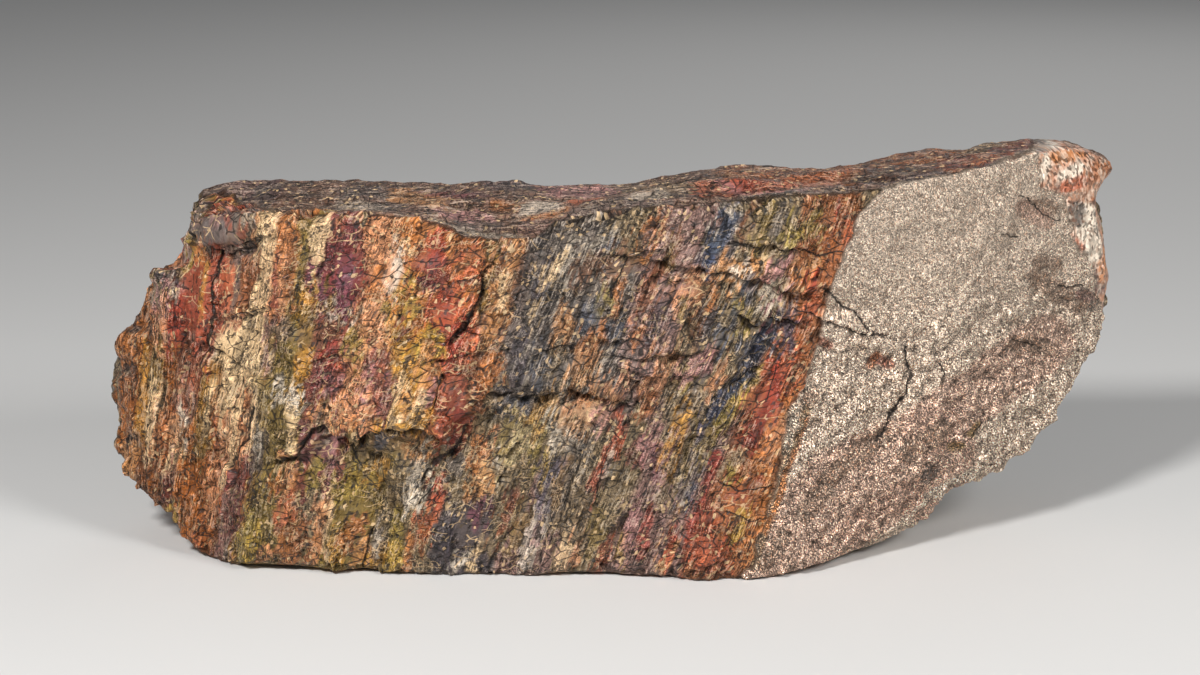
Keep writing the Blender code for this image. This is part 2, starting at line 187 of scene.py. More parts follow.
LEFT_END_STROKES = (
    # the outer edge and its splinters
    ("slate", 3.5, -214, 90, -213, 102), ("slate", 2.5, -215, 62, -213, 74),
    ("amber", 4, -214, 74, -212, 92), ("tan", 4.5, -217, 46, -213, 62),
    ("brown", 5, -208, 40, -205, 54), ("ochre", 3.5, -208, 68, -204, 104),
    ("olive", 3, -202, 88, -199, 110), ("slate", 3, -208, 118, -204, 124),
    ("orange", 2.5, -210, 104, -206, 116), ("khaki", 4, -198, 138, -190, 145),
    ("ash", 3, -200, 133, -192, 131), ("dusk", 2, -197, 143, -189, 138),
    ("pink", 3.5, -198, 124, -196, 134), ("pale", 2, -190, 134, -182, 130),
    ("red", 7, -190, 116, -183, 129), ("salmon", 3, -199, 110, -197, 126),
    ("cream", 3.2, -206, 56, -199, 92), ("rust", 3, -202, 50, -196, 84),
    ("cream", 4.2, -196, 52, -186, 88), ("salmon", 3, -194, 66, -190, 82),
    ("pale", 1.8, -190, 66, -185, 90), ("brick", 6, -188, 82, -180, 112),
    ("brown", 2.2, -192, 84, -186, 112), ("olive", 3.6, -182, 56, -176, 90),
    ("ochre", 3, -178, 78, -174, 100), ("cream", 2, -179, 68, -175, 90),
    ("amber", 3.6, -190, 33, -184, 48), ("amber", 4, -184, 20, -174, 52),
    ("amber", 3.4, -196, 26, -186, 66), ("brown", 3, -204, 22, -197, 44),
    ("dark_red", 1.4, -199, 34, -193, 58), ("moss", 2.6, -198, 25, -194, 32),
    ("amber", 3.2, -191, 18, -186, 34), ("amber", 3, -182, 8, -174, 36),
    ("brown", 2.2, -178, 14, -172, 34), ("salmon", 3.4, -180, 30, -170, 66),
    # the cream ridge, with the warmer streaks beside it
    ("cream", 4.6, -147, 172, -150, 150, -154, 128, -158, 100),
    ("salmon", 1.4, -141, 170, -144, 148, -147, 130),
    ("rust", 1.0, -152, 170, -155, 148, -158, 126), ("salmon", 4.5, -170, 46, -160, 86),
    ("cream", 1.6, -172, 44, -162, 84), ("rust", 1.3, -172, 30, -158, 88),
    ("mauve", 3.2, -176, 6, -166, 44), ("ash", 1.2, -172, 4, -163, 46),
    ("dark_red", 3, -169, 24, -161, 54), ("slate", 3.2, -159, 50, -153, 66),
    ("ash", 1.2, -158, 58, -153, 70), ("rust", 1.6, -150, 96, -146, 130),
    ("dark_red", 0.9, -147, 128, -141, 168), ("mauve", 4, -150, 104, -144, 117),
    ("cream", 7, -168, 102, -160, 122), ("cream", 5, -158, 100, -154, 122),
    ("khaki", 1.5, -164, 100, -156, 118),
    # brick-red panels beside the long crack
    ("brick", 7.5, -182, 118, -176, 152), ("ochre", 1.2, -180, 124, -176, 146),
    ("brick", 7.5, -166, 124, -162, 150), ("coral", 3, -168, 130, -166, 142),
    ("slate", 1.4, -164, 126, -160, 150), ("rust", 3, -159, 128, -156, 152),
    ("moss", 4, -185, 150, -182, 158), ("orange", 3, -179, 150, -176, 158),
    # the slate block at the upper corner
    ("layer_grey", 8, -176, 162, -164, 176), ("slate", 6, -176, 160, -166, 164),
    ("mauve", 6, -170, 172, -160, 180), ("layer_grey", 6, -162, 154, -158, 166),
    ("brick", 1.1, -166, 171, -164, 163), ("brick", 1.3, -161, 156, -158, 164),
    ("rust", 1.0, -163, 182, -160, 170),
)

LEFT_MIDDLE_STROKES = (
    ("olive", 4, -131, 152, -128, 168), ("cream", 3.4, -127, 152, -122, 174),
    ("salmon", 2.8, -117, 158, -114, 170), ("orange", 3, -142, 154, -139, 168),
    ("rust", 2.4, -140, 132, -136, 160), ("maroon", 9, -118, 130, -112, 158),
    ("purple", 6, -116, 128, -112, 142), ("dark_red", 4, -108, 134, -106, 146),
    ("purple", 3.5, -128, 136, -127, 144), ("ochre", 3.4, -134, 126, -131, 134),
    ("yellow", 2.6, -126, 128, -124, 132), ("olive", 3, -122, 128, -121, 136),
    ("brown", 6, -128, 108, -118, 118), ("olive", 5, -137, 106, -132, 122),
    ("ochre", 2.6, -134, 98, -131, 106), ("ash", 1, -124, 124, -114, 121.5, -106, 123),
    ("dark_red", 5, -119, 108, -111, 114), ("moss", 4.5, -113, 106, -108, 112),
    ("red", 1.4, -126, 102, -118, 103), ("salmon", 2.6, -107, 112, -103, 124),
    ("salmon", 5.5, -100, 150, -96, 170), ("orange", 4, -102, 132, -98, 146),
    ("pale", 3.2, -95, 136, -89, 150), ("salmon", 1.4, -97, 132, -92, 152),
    ("moss", 1.8, -98, 122, -89, 132, -80, 142), ("orange", 4.6, -86, 156, -82, 167),
    ("red", 4.2, -74, 158, -69, 163), ("rust", 4, -60, 154, -50, 156),
    ("olive", 3, -49, 152, -46, 157), ("cream", 1.2, -88, 154, -80, 153),
    ("brick", 6, -80, 145, -73, 150), ("red", 2.6, -75, 151, -71, 153),
    ("maroon", 4, -78, 141, -72, 146), ("coral", 5.5, -63, 142, -56, 144),
    ("maroon", 4, -76, 136, -71, 138), ("orange", 3.6, -64, 133, -58, 131),
    ("red", 6.5, -74, 122, -68, 128), ("coral", 5, -64, 120, -58, 127),
    ("moss", 3.4, -89, 121, -84, 130), ("maroon", 3.2, -91, 114, -88, 122),
    ("rust", 3.4, -84, 115, -82, 120), ("red", 5, -70, 104, -62, 116),
    ("coral", 3.6, -61, 104, -57, 114), ("ochre", 5, -86, 108, -76, 114),
    ("yellow", 3, -79, 108, -73, 112), ("moss", 2.2, -88, 103, -82, 104),
    ("tan", 7, -86, 86, -76, 98), ("ochre", 4, -90, 92, -86, 100),
    ("pink", 3, -80, 84, -74, 90), ("cream", 2, -84, 78, -80, 86),
    ("ochre", 3.6, -84, 72, -76, 78), ("cream", 1.4, -93, 74, -88, 96),
    ("maroon", 7, -106, 82, -100, 102), ("pink", 2.6, -108, 84, -104, 96),
    ("purple", 3.4, -98, 78, -94, 92), ("salmon", 3, -116, 78, -111, 96),
    ("maroon", 6.5, -128, 84, -120, 96), ("pink", 2.4, -126, 86, -118, 92),
    ("olive", 7, -148, 88, -142, 104), ("khaki", 3.4, -146, 112, -140, 118),
    ("ochre", 3, -138, 90, -134, 98), ("pale", 4.4, -144, 86, -137, 84),
    ("cream", 1.9, -139, 80, -137, 60), ("maroon", 3.8, -134, 66, -130, 76),
    ("tan", 3, -128, 78, -122, 80), ("salmon", 5.5, -118, 72, -108, 82),
    ("orange", 2.6, -115, 70, -112, 76), ("brick", 4.4, -70, 70, -64, 92),
    ("dark_red", 2.4, -66, 66, -62, 80), ("rust", 3.6, -58, 90, -50, 102),
    ("orange", 3, -52, 94, -46, 102),
)

LOWER_LEFT_STROKES = (
    ("purple", 5.5, -130, 60, -119, 65), ("ash", 1.0, -129, 62, -120, 66),
    ("maroon", 3.4, -137, 40, -133, 54), ("moss", 4, -131, 44, -127, 53),
    ("maroon", 4.4, -124, 42, -120, 54), ("pink", 1.1, -124, 38, -120, 62),
    ("khaki", 7, -104, 60, -88, 66), ("blue", 3, -100, 62, -96, 68),
    ("tan", 4, -86, 60, -78, 66), ("ochre", 4.5, -108, 44, -100, 50),
    ("yellow", 3, -116, 42, -112, 48), ("moss", 5, -120, 40, -108, 44),
    ("olive", 6, -114, 26, -102, 38), ("ash", 5.0, -86, 38, -81, 54),
    ("pale", 2, -90, 30, -84, 42), ("slate", 4.4, -68, 50, -64, 57),
    ("red", 3.6, -76, 34, -73, 44), ("coral", 4, -80, 22, -74, 36),
    ("rust", 3, -84, 10, -79, 24), ("moss", 4, -98, 10, -93, 26),
    ("yellow", 3, -96, 4, -92, 14), ("orange", 2.2, -90, 2, -87, 20),
    ("ochre", 4.5, -106, 2, -100, 12), ("slate", 4, -104, 10, -99, 22),
    ("ash", 1.6, -104, 12, -100, 20), ("salmon", 4, -145, 30, -140, 50),
    ("coral", 3.4, -147, 26, -143, 36), ("olive", 5, -155, 28, -150, 48),
    ("orange", 2.4, -151, 40, -148, 46), ("moss", 4.4, -164, 12, -159, 26),
    ("yellow", 2.4, -161, 10, -158, 18), ("rust", 7, -146, 10, -137, 22),
    ("salmon", 3, -155, 6, -151, 11), ("salmon", 3.6, -131, 6, -126, 34),
    ("cream", 1.3, -127, 8, -123, 36), ("ochre", 4, -122, 6, -118, 20),
    ("rust", 4.4, -118, 14, -110, 26), ("tan", 3, -112, 4, -108, 14),
    ("moss", 3, -134, 4, -122, 3), ("dusk", 8, -64, 16, -56, 32),
    ("purple", 3, -58, 26, -52, 34), ("ash", 3, -68, 3, -60, 10),
    ("cream", 2.4, -60, 2, -56, 12), ("dusk", 4, -74, 16, -68, 30),
    ("orange", 3.4, -58, 52, -54, 64), ("cream", 2.4, -54, 46, -48, 66),
    ("rust", 3, -52, 56, -48, 68), ("tan", 4, -58, 38, -52, 48),
)

CENTRE_STROKES = (
    ("blue", 4.6, -44, 79, -36, 79), ("moss", 7, -42, 60, -30, 72),
    ("olive", 4, -44, 60, -40, 72), ("ochre", 5, -30, 74, -22, 82),
    ("moss", 3, -30, 56, -26, 64), ("dark_red", 3.4, -46, 24, -38, 36),
    ("rust", 2.2, -50, 20, -44, 30), ("olive", 3.6, -40, 14, -34, 34),
    ("pale", 4.2, -34, 6, -28, 28), ("pink", 2, -31, 16, -27, 30),
    ("blue", 4, -28, 32, -22, 54), ("yellow", 1.6, -27, 42, -24, 50),
    ("ochre", 1.8, -21, 34, -17, 50), ("slate", 6, -16, 38, -8, 66),
    ("khaki", 3, -14, 30, -8, 48), ("slate", 3, -30, 20, -22, 32),
    ("cream", 3, -20, 4, -15, 16), ("salmon", 3, -14, 4, -10, 14),
    ("olive", 3.6, -5, 18, 0, 30), ("coral", 3, -2, 2, 3, 14), ("yellow", 1.8, 8, 8, 11, 20),
    ("pink", 3, 12, 14, 17, 34), ("red", 2.2, 18, 10, 22, 28), ("tan", 7.5, -12, 73, 2, 82),
    ("salmon", 3.4, -14, 80, -6, 84), ("pink", 3, -2, 72, 3, 80), ("slate", 4, 9, 76, 14, 82),
    ("red", 3.2, -3, 41, 2, 54, 11, 72), ("coral", 2.2, 6, 58, 10, 68),
    ("ash", 1.4, 1, 46, 6, 58), ("maroon", 3.4, 14, 59, 19, 62), ("pink", 4, 22, 58, 26, 68),
    ("purple", 3, 26, 50, 30, 64), ("orange", 4, 18, 78, 22, 88),
    ("slate", 4.4, -44, 86, -38, 92), ("slate", 6, -34, 92, -28, 108),
    ("ash", 1.0, -38, 96, -28, 104), ("dusk", 4, -38, 100, -34, 110),
    ("khaki", 4, -26, 98, -18, 106), ("blue", 3, -29, 96, -25, 102),
    ("tan", 4, -50, 112, -44, 130), ("olive", 3, -51, 132, -48, 147),
    ("cream", 2.2, -44, 132, -36, 158), ("orange", 3.6, -40, 146, -36, 156),
    ("salmon", 2, -50, 144, -46, 152), ("dusk", 3.4, -28, 132, -23, 150),
    ("slate", 4, -26, 112, -20, 130), ("cream", 1.1, -34, 112, -22, 146),
    ("ash", 3, -18, 140, -12, 156), ("ash", 3.4, -4, 154, 6, 162), ("blue", 3, 0, 152, 6, 158),
    ("cream", 2, -22, 142, -16, 154), ("brown", 6, 2, 142, 12, 147),
    ("brown", 4, -10, 140, -2, 150), ("moss", 3, -2, 126, 2, 127),
    ("blue", 3.4, -8, 118, -5, 127), ("blue", 3, 4, 114, 9, 121),
    ("orange", 1.8, 6, 124, 9, 138), ("tan", 3.4, -20, 112, -14, 122),
    ("orange", 4.4, -8, 106, -1, 112), ("tan", 5, -14, 92, -4, 100),
    ("salmon", 4, 4, 90, 12, 94), ("orange", 2.4, 16, 110, 20, 120),
    ("dusk", 4, 22, 112, 28, 126), ("orange", 2.6, 18, 155, 22, 160),
    ("orange", 3, 24, 158, 28, 168), ("brown", 3.4, 30, 148, 34, 158),
    ("olive", 3, 30, 146, 33, 152), ("salmon", 5, 36, 130, 46, 140),
    ("rust", 4, 20, 130, 26, 142), ("moss", 2, 35, 125, 37, 128),
    ("rust", 2.6, 41, 112, 44, 128), ("salmon", 6, 24, 96, 32, 103),
    ("pink", 4, 36, 96, 42, 102), ("slate", 4, 6, 98, 14, 104), ("khaki", 3, 30, 104, 40, 112),
)

RIGHT_WOOD_STROKES = (
    # slate-blue shards near the top
    ("dusk", 8, 50, 148, 58, 166), ("blue", 4.5, 53, 156, 58, 166),
    ("blue", 2.4, 47, 146, 51, 158), ("navy", 2, 48, 145, 50, 152),
    ("ash", 0.8, 46, 156, 56, 174, 64, 161), ("brown", 2.6, 64, 156, 68, 170),
    ("olive", 4, 70, 156, 76, 170), ("khaki", 2.4, 66, 158, 70, 166),
    ("slate", 2.6, 78, 160, 82, 172), ("moss", 3, 81, 157, 86, 161),
    ("moss", 3, 90, 162, 97, 167), ("rust", 3.4, 94, 152, 98, 160),
    ("rust", 4.6, 104, 152, 109, 172), ("coral", 2, 110, 154, 112, 170),
    ("red", 1.6, 104, 164, 106, 172), ("tan", 6, 58, 144, 72, 142),
    ("pale", 2, 60, 145, 66, 142), ("pink", 5, 76, 140, 86, 146), ("tan", 4, 88, 140, 96, 148),
    ("red", 2.6, 92, 139, 98, 141), ("coral", 3.6, 92, 122, 96, 134),
    ("rust", 2.6, 100, 134, 104, 150), ("blue", 3.6, 64, 132, 68, 138),
    ("ash", 2.6, 70, 128, 76, 134), ("blue", 3, 80, 122, 86, 128),
    ("purple", 2.6, 74, 122, 78, 126), ("moss", 2, 60, 124, 63, 130),
    ("blue", 3.4, 54, 112, 58, 124), ("dusk", 3, 46, 112, 50, 124),
    ("orange", 2, 48, 126, 52, 136), ("navy", 4, 80, 112, 88, 116),
    ("blue", 5, 66, 104, 76, 116), ("khaki", 3, 58, 104, 64, 114),
    ("moss", 2.2, 61, 112, 66, 115), ("pink", 3.4, 44, 98, 50, 106),
    ("salmon", 2.8, 50, 90, 56, 100), ("slate", 3, 38, 88, 46, 96), ("moss", 2, 38, 92, 42, 95),
    ("khaki", 3, 28, 74, 36, 88),
    # the long navy and slate-green streak
    ("navy", 4, 76, 112, 67, 97, 57, 85, 48, 73, 42, 64), ("navy", 3.4, 60, 88, 50, 76),
    ("blue", 1.8, 66, 92, 58, 84), ("slate", 5.5, 48, 62, 38, 44),
    ("olive", 3.4, 54, 74, 46, 58), ("moss", 3, 55, 72, 61, 81),
    ("yellow", 1.6, 59, 79, 66, 88), ("moss", 1.4, 66, 88, 74, 98), ("blue", 3, 34, 30, 40, 36),
    ("ash", 2, 30, 26, 38, 34), ("ochre", 2, 32, 24, 36, 30), ("ochre", 1.8, 32, 48, 40, 82),
    ("ochre", 1.4, 27, 54, 36, 84), ("olive", 2, 36, 46, 44, 76), ("khaki", 3, 28, 34, 36, 50),
    # the brick-red wedge, the salmon one beside it and the strip that frames them
    ("brick", 9, 70, 66, 82, 92), ("dark_red", 4, 66, 60, 74, 76), ("red", 5, 78, 84, 84, 100),
    ("rust", 3.4, 86, 92, 92, 110), ("coral", 3, 84, 96, 88, 108),
    ("orange", 5, 74, 50, 79, 68), ("salmon", 2.4, 77, 56, 84, 76),
    ("orange", 1.6, 82, 76, 90, 92), ("red", 1.8, 40, 18, 48, 40, 54, 60),
    ("brick", 5, 42, 10, 50, 30), ("khaki", 5, 58, 50, 62, 58), ("moss", 2, 58, 46, 62, 50),
    ("rust", 8, 62, 26, 70, 42), ("brick", 3.4, 60, 38, 72, 44),
    ("yellow", 3.4, 61, 25, 66, 28), ("orange", 3.4, 64, 16, 68, 20),
    ("orange", 3, 73, 24, 77, 42), ("brick", 6, 44, 6, 54, 14), ("coral", 5, 44, 8, 52, 12),
    ("orange", 2.6, 66, 2, 72, 18), ("coral", 3, 56, 4, 60, 16), ("tan", 3, 28, 4, 34, 14),
    ("mauve", 4, 26, 14, 32, 28), ("red", 2, 30, 8, 34, 20),
)

RIND_STROKES = (
    ("granule", 40, 150, 150, 190, 190), ("granule_pink", 22, 84, 10, 110, 40, 150, 60),
    ("granule_pink", 14, 150, 70, 200, 110), ("granule", 12, 100, 84, 116, 100),
    ("granule_pink", 8, 116, 20, 140, 38), ("granule_dark", 5, 94, 30, 110, 52, 128, 66),
    ("granule_dark", 5, 140, 58, 156, 70), ("granule_dark", 4, 188, 110, 200, 108),
    ("granule_dark", 5, 196, 140, 214, 128), ("granule_dark", 4, 200, 172, 190, 172),
    ("granule_pink", 4, 188, 172, 198, 166), ("granule_dark", 3, 76, 4, 84, 20),
    ("granule_dark", 3, 88, 74, 96, 86), ("granule_dark", 3, 196, 148, 204, 146),
    # the strip along the wood
    ("khaki", 3.4, 70, 6, 80, 40, 86, 66), ("ash", 2.2, 84, 62, 90, 82),
    ("orange", 1.1, 76, 20, 84, 46, 94, 76), ("khaki", 1.4, 88, 62, 94, 80),
    # chips and spots
    ("brick", 2.6, 126, 102, 130, 100), ("rust", 2, 123, 99, 125, 104),
    ("brick", 2.2, 100, 111, 103, 109), ("olive", 1.8, 160, 61, 164, 62),
    ("olive", 1.6, 169, 67, 171, 72), ("slate", 3.2, 149, 46, 152, 50),
    ("pale", 4, 148, 32, 162, 44), ("pale", 2.6, 167, 47, 171, 48),
    ("granule_pink", 3, 146, 28, 166, 42), ("slate", 2.2, 221, 127, 222, 129),
    ("mauve", 2.6, 215, 133, 219, 132),
)

CRYSTAL_STROKES = (
    ("crystal", 60, 200, 200, 226, 140), ("pale", 2.4, 200, 198, 196, 186),
    ("pale", 3, 206, 186, 212, 190), ("orange", 4, 203, 196, 212, 198),
    ("rust", 4, 218, 188, 226, 190), ("coral", 3, 206, 181, 214, 184),
    ("rust", 3, 216, 172, 222, 176), ("pale", 4.4, 218, 168, 220, 152),
    ("pale", 5, 216, 170, 218, 150), ("coral", 2.6, 210, 158, 214, 154),
    ("mauve", 4, 222, 142, 224, 136), ("salmon", 3, 225, 146, 226, 140),
    ("slate", 4.6, 211.6, 167.6, 212, 171),
)

# Strokes on the top, in the same measure, where the eye sees it as a narrow band.
TOP_STROKES = (
    ("layer", 60, -180, 180, 200, 200), ("layer_grey", 5, -176, 170, -160, 180),
    ("mauve", 4, -166, 178, -156, 182), ("dusk", 3, -152, 178, -142, 182),
    ("brown", 3, -150, 174, -128, 174), ("layer_grey", 3, -148, 172, -150, 180),
    ("black", 1.0, -140, 178, -132, 177, -124, 176), ("ash", 1.6, -116, 172, -98, 172),
    ("layer_grey", 3, -114, 177, -96, 178), ("black", 0.6, -126, 171, -112, 176, -98, 181),
    ("layer_grey", 2, -98, 172, -84, 174), ("tan", 3.4, -90, 177, -70, 175),
    ("purple", 1.5, -76, 178, -48, 178), ("pink", 2.2, -68, 170, -50, 168),
    ("ash", 1.2, -74, 166, -52, 161, -34, 159), ("layer_grey", 2, -60, 166, -46, 164),
    ("orange", 1.6, -46, 173, -38, 172), ("pale", 2.2, -36, 171, -18, 173),
    ("orange", 1.2, -32, 168, -14, 170), ("coral", 1.6, -12, 174, 0, 176),
    ("mauve", 3, -34, 164, -24, 164), ("layer_grey", 3.4, -14, 167, 10, 172, 30, 175),
    ("pink", 2.4, -24, 180, 6, 179), ("dusk", 1.6, -50, 182, -20, 183),
    ("khaki", 2.4, 14, 180, 38, 182), ("ash", 1.3, 16, 176, 30, 178),
    ("coral", 3, 44, 181, 108, 187), ("rust", 3, 56, 186, 112, 190),
    ("red", 1.8, 60, 183, 68, 183), ("pink", 0.8, 50, 184, 66, 180, 92, 180),
    ("layer_grey", 2.4, 60, 176, 84, 177, 112, 178), ("slate", 1.6, 76, 176, 86, 177),
    ("brown", 5, 112, 186, 134, 190, 186, 200), ("brown", 4, 112, 186, 134, 190),
    ("black", 3.0, 118, 188, 146, 193, 180, 199), ("brown", 4, 140, 191, 186, 200),
    ("dusk", 1.6, 116, 183, 150, 188), ("rust", 2.2, 126, 193, 152, 196),
    ("khaki", 2.6, 164, 198, 174, 199), ("dark_red", 3, 150, 192, 170, 193, 192, 202),
    ("rust", 1.6, 156, 189, 180, 196),
)

# The strokes of the wood in the order that they are laid, each set with its strength.
WOOD_LAYERS = (
    (BROAD_STROKES, 0.85),
    (LEFT_END_STROKES + LEFT_MIDDLE_STROKES + LOWER_LEFT_STROKES, 0.75),
    (CENTRE_STROKES, 0.6),
    (RIGHT_WOOD_STROKES, 0.75),
)

# Where the rind begins and where the crystal corner begins: heights, and how far across.
RIND_EDGE = (
    (-5, 64), (8, 70), (27, 76), (42, 80), (59, 82.5), (70, 84), (80, 86), (90, 91.5), (107, 97),
    (121, 100), (139, 105), (153, 110), (162, 114), (170, 115.5), (181, 126), (210, 150),
)
CRYSTAL_EDGE = (
    (60, 262), (118, 240), (128, 226), (134, 222), (141, 221), (147, 219.5), (153, 215.5),
    (160, 209), (164, 212), (170, 207), (178, 206), (181, 195), (206, 194),
)

# Smooth broken faces on the front: the middle, and the half lengths across and up.
CALM_SPOTS = (
    ((-170, 168), (13, 15)), ((-166, 112), (7, 11)), ((-92, 143), (4, 9)), ((-181, 134), (8, 20)),
    ((-165, 138), (6, 14)), ((-125, 62), (8, 6)), ((-112, 144), (7, 10)), ((-76, 148), (6, 6)),
    ((-70, 124), (6, 6)), ((-134, 110), (7, 7)), ((-64, 80), (6, 12)), ((-96, 62), (9, 5)),
    ((-60, 22), (8, 9)), ((-4, 78), (8, 6)), ((10, 144), (9, 4)), ((40, 135), (7, 5)),
    ((62, 35), (7, 8)), ((76, 78), (6, 12)), ((-112, 32), (9, 7)), ((212, 168), (5, 6)),
)

# Rises and hollows that step the left end: the middle, the half lengths and the lift.
SWELLS = (
    ((-192, 151), (10, 8), -6.0), ((-201, 142), (7, 6), 4.0), ((-208, 121), (8, 9), -4.5),
    ((-214, 108), (7, 7), 2.0), ((-212, 60), (8, 12), -2.5),
)

# The front rim of the top as the eye sees it: how far across, and how high.
RIM = (
    (-186, 170), (-178, 179), (-168, 184), (-160, 174), (-150, 172), (-140, 170), (-124, 172),
    (-112, 170), (-98, 169), (-80, 167), (-70, 163), (-60, 159.5), (-40, 158), (-30, 158.5),
    (-20, 166), (0, 170), (20, 173), (40, 175), (80, 177), (120, 180), (130, 182),
    (140, 185), (160, 188), (175, 192), (190, 198), (194, 204), (230, 210),
)

# Paths that a ledge and the crack under it share.
CENTRE_LIP = (-35, 85, -27, 86.5, -18, 88.5, -6, 87, 5, 86)
RIGHT_LIP = (25, 148, 37, 145, 51, 142, 61, 140, 70, 138, 81, 135, 89, 133)
SHORT_LIP = (63, 122, 70, 118, 77, 121, 88, 119.5)

# Ledges on the front: how far the stone above the path stands out beyond the packed
# solid, how far up that lip fades back, and the path of its lower edge, along which a painted shadow
# line runs.
LEDGES = (
    (3.6, 26, -144, 55, -137, 57, -135, 63, -130, 68, -126, 71, -119, 68, -109, 67),
    (4.2, 30, -109, 68, -102, 69, -85, 70, -73, 69),
    (3.2, 22, *CENTRE_LIP),
    (2.4, 14, -56, 84, -49, 86.5, -40, 87),
    (2.2, 20, -186, 160, -178, 156, -171, 155, -165, 151, -158, 153, -151, 158),
    (3.4, 20, -66, 112, -59, 121, -54, 130, -53, 137),
    (2.0, 12, -64, 139, -56, 140, -50, 145),
    (2.4, 14, *RIGHT_LIP),
    (1.8, 10, 60, 156.5, 70, 154.5, 87, 153),
    (2.0, 12, *SHORT_LIP),
    (1.4, 10, 1, 151, 12, 150, 26, 154),
    (1.6, 9, 2, 111, 20, 111),
    (1.4, 10, 5, 104, 18, 103, 38, 105, 46, 106),
    (1.4, 8, 10, 98, 15, 97, 27, 95),
    (1.4, 8, -30, 104, -20, 107, -12, 109),
    (1.4, 8, -128, 102, -117, 104),
    (1.6, 9, -78, 102, -66, 103, -57, 105),
    (1.8, 14, -178, 109.5, -167, 104, -159, 97, -158, 91),
    (1.2, 10, -168, 122, -158, 124, -150, 127),
    (1.2, 9, 100, 121, 113, 115.5, 125, 113.5),
)

# Cracks on the front: the half width, the depth and the path.
CRACKS = (
    (0.9, 2.6, -170, 155, -169.7, 152, -171, 143, -173.7, 132, -174, 118, -176, 109),
    (0.5, 1.4, -175, 109.5, -166.5, 104, -159.5, 97.4, -158.5, 91.5),
    (1.1, 2.4, -66, 112, -59, 121.5, -54.4, 130, -53, 137),
    (1.0, 2.0, -109, 70, -108, 63.5),
    (0.6, 1.4, -112, 62, -109, 53),
    (1.1, 2.4, -61, 70.5, -67, 59, -78, 50, -80, 47),
    (0.6, 1.2, -77, 42, -82, 36),
    (0.7, 1.6, -72, 94, -76, 74),
    (0.5, 1.2, -104, 21, -108, 8, -110, 0),
    (0.7, 1.6, -168, 52, -160, 66, -156, 80),
    (1.0, 2.6, *CENTRE_LIP),
    (1.0, 2.6, -104, 69, -85, 70, -73, 69),
    (0.9, 2.2, -144, 55, -137, 57, -135, 63, -130, 68),
    (0.8, 2.0, -186, 161, -178, 156, -171, 155),
    (1.0, 2.0, -156, 157, -152, 158.5),
    (0.45, 1.2, *RIGHT_LIP),
    (0.5, 1.2, 60, 156.5, 70, 154.5, 87, 153, 92, 153, 99, 150, 108, 152),
    (0.6, 1.4, *SHORT_LIP),
    (0.5, 1.0, 5, 132, 12, 149),
    (0.4, 0.8, -2, 40, 1, 52, 5, 64),
    (0.35, 0.8, 48, 60, 56, 62),
    (0.4, 0.8, 54, 46, 62, 40, 78, 42),
    (0.4, 0.8, 58, 30, 68, 26, 76, 28),
    (0.7, 1.8, 101, 134, 108, 128, 114, 125, 120, 119),
    (0.45, 1.2, 87, 126, 100, 121, 113, 115.5, 125, 113.5),
    (0.4, 1.0, 119, 118, 125, 114, 133, 111),
    (0.8, 2.0, 138, 107, 138, 100, 140, 95, 138, 86, 134, 79, 128, 66),
    (0.5, 1.2, 137, 84, 132, 78, 130, 70),
    (0.5, 1.2, 153.5, 100, 155, 94),
    (0.6, 1.2, 172, 72, 170, 67),
    (0.35, 1.0, 187, 177, 191, 176.7, 194, 173.6, 197, 168.5, 206, 166.6),
    (0.4, 1.0, 180, 160, 186.5, 158.4),
    (0.5, 1.2, 205, 137, 209, 135.5, 215, 137.3),
    (0.4, 1.0, 187, 112, 192, 110, 198, 108),
    (0.4, 0.8, 60, 88, 70, 104),
    (0.4, 0.8, 76, 84, 80, 98),
)


def smooth_step(value, low, high):
    share = np.clip((value - low) / (high - low), 0.0, 1.0)
    return share * share * (3.0 - 2.0 * share)


def cell_random(cells, salt):
    """A repeatable number from 0 to 1 for each row of whole numbers."""
    mixed = np.sin(cells @ np.array((127.1, 311.7, 74.7)) + salt * 43.3) * 43758.5453
    return mixed - np.floor(mixed)


def soft_noise(points, salt):
    """Smooth noise from -1 to 1, with one lattice cell a unit wide."""
    base = np.floor(points)
    share = smooth_step(points - base, 0.0, 1.0)
    total = np.zeros(len(points))
    for corner in np.ndindex(2, 2, 2):
        weight = np.prod(np.where(corner, share, 1.0 - share), axis=1)
        total += weight * cell_random(base + corner, salt)
    return total * 2.0 - 1.0


def noise_vector(points, salt):
    return np.stack([soft_noise(points, salt + axis) for axis in range(3)], axis=1)


def broken_cells(points, salt):
    """The broken cell that each point lies in: its whole-number name, and its middle."""
    base = np.floor(points)
    nearest = np.full(len(points), 9.0)
    middle = np.zeros((len(points), 3))
    home = np.zeros((len(points), 3))
    for offset in np.ndindex(3, 3, 3):
        cell = base + np.array(offset) - 1.0
        seed = cell + np.stack([cell_random(cell, salt + axis) for axis in range(3)], axis=1)
        distance = np.linalg.norm(seed - points, axis=1)
        closer = distance < nearest
        nearest[closer] = distance[closer]
        middle[closer] = seed[closer]
        home[closer] = cell[closer]
    return home, middle


def path_measure(across, up, places):
    """How far each point is from a path, how far above it, and how far outside its ends."""
    nearest = np.full(len(across), 1e6)
    above = np.zeros(len(across))
    path = list(zip(places[::2], places[1::2]))
    for (x0, z0), (x1, z1) in zip(path[:-1], path[1:]):
        length = math.hypot(x1 - x0, z1 - z0)
        along = ((across - x0) * (x1 - x0) + (up - z0) * (z1 - z0)) / length
        off = ((up - z0) * (x1 - x0) - (across - x0) * (z1 - z0)) / length
        held = np.clip(along, 0.0, length)
        distance = np.hypot(along - held, off)
        closer = distance < nearest
        nearest[closer] = distance[closer]
        above[closer] = off[closer]
    outside = np.sqrt(np.maximum(nearest**2 - above**2, 0.0))
    return nearest, above, outside


def read_vectors(mesh, name):
    flat = np.empty(len(mesh.vertices) * 3)
    mesh.vertices.foreach_get(name, flat)
    return flat.reshape(-1, 3)


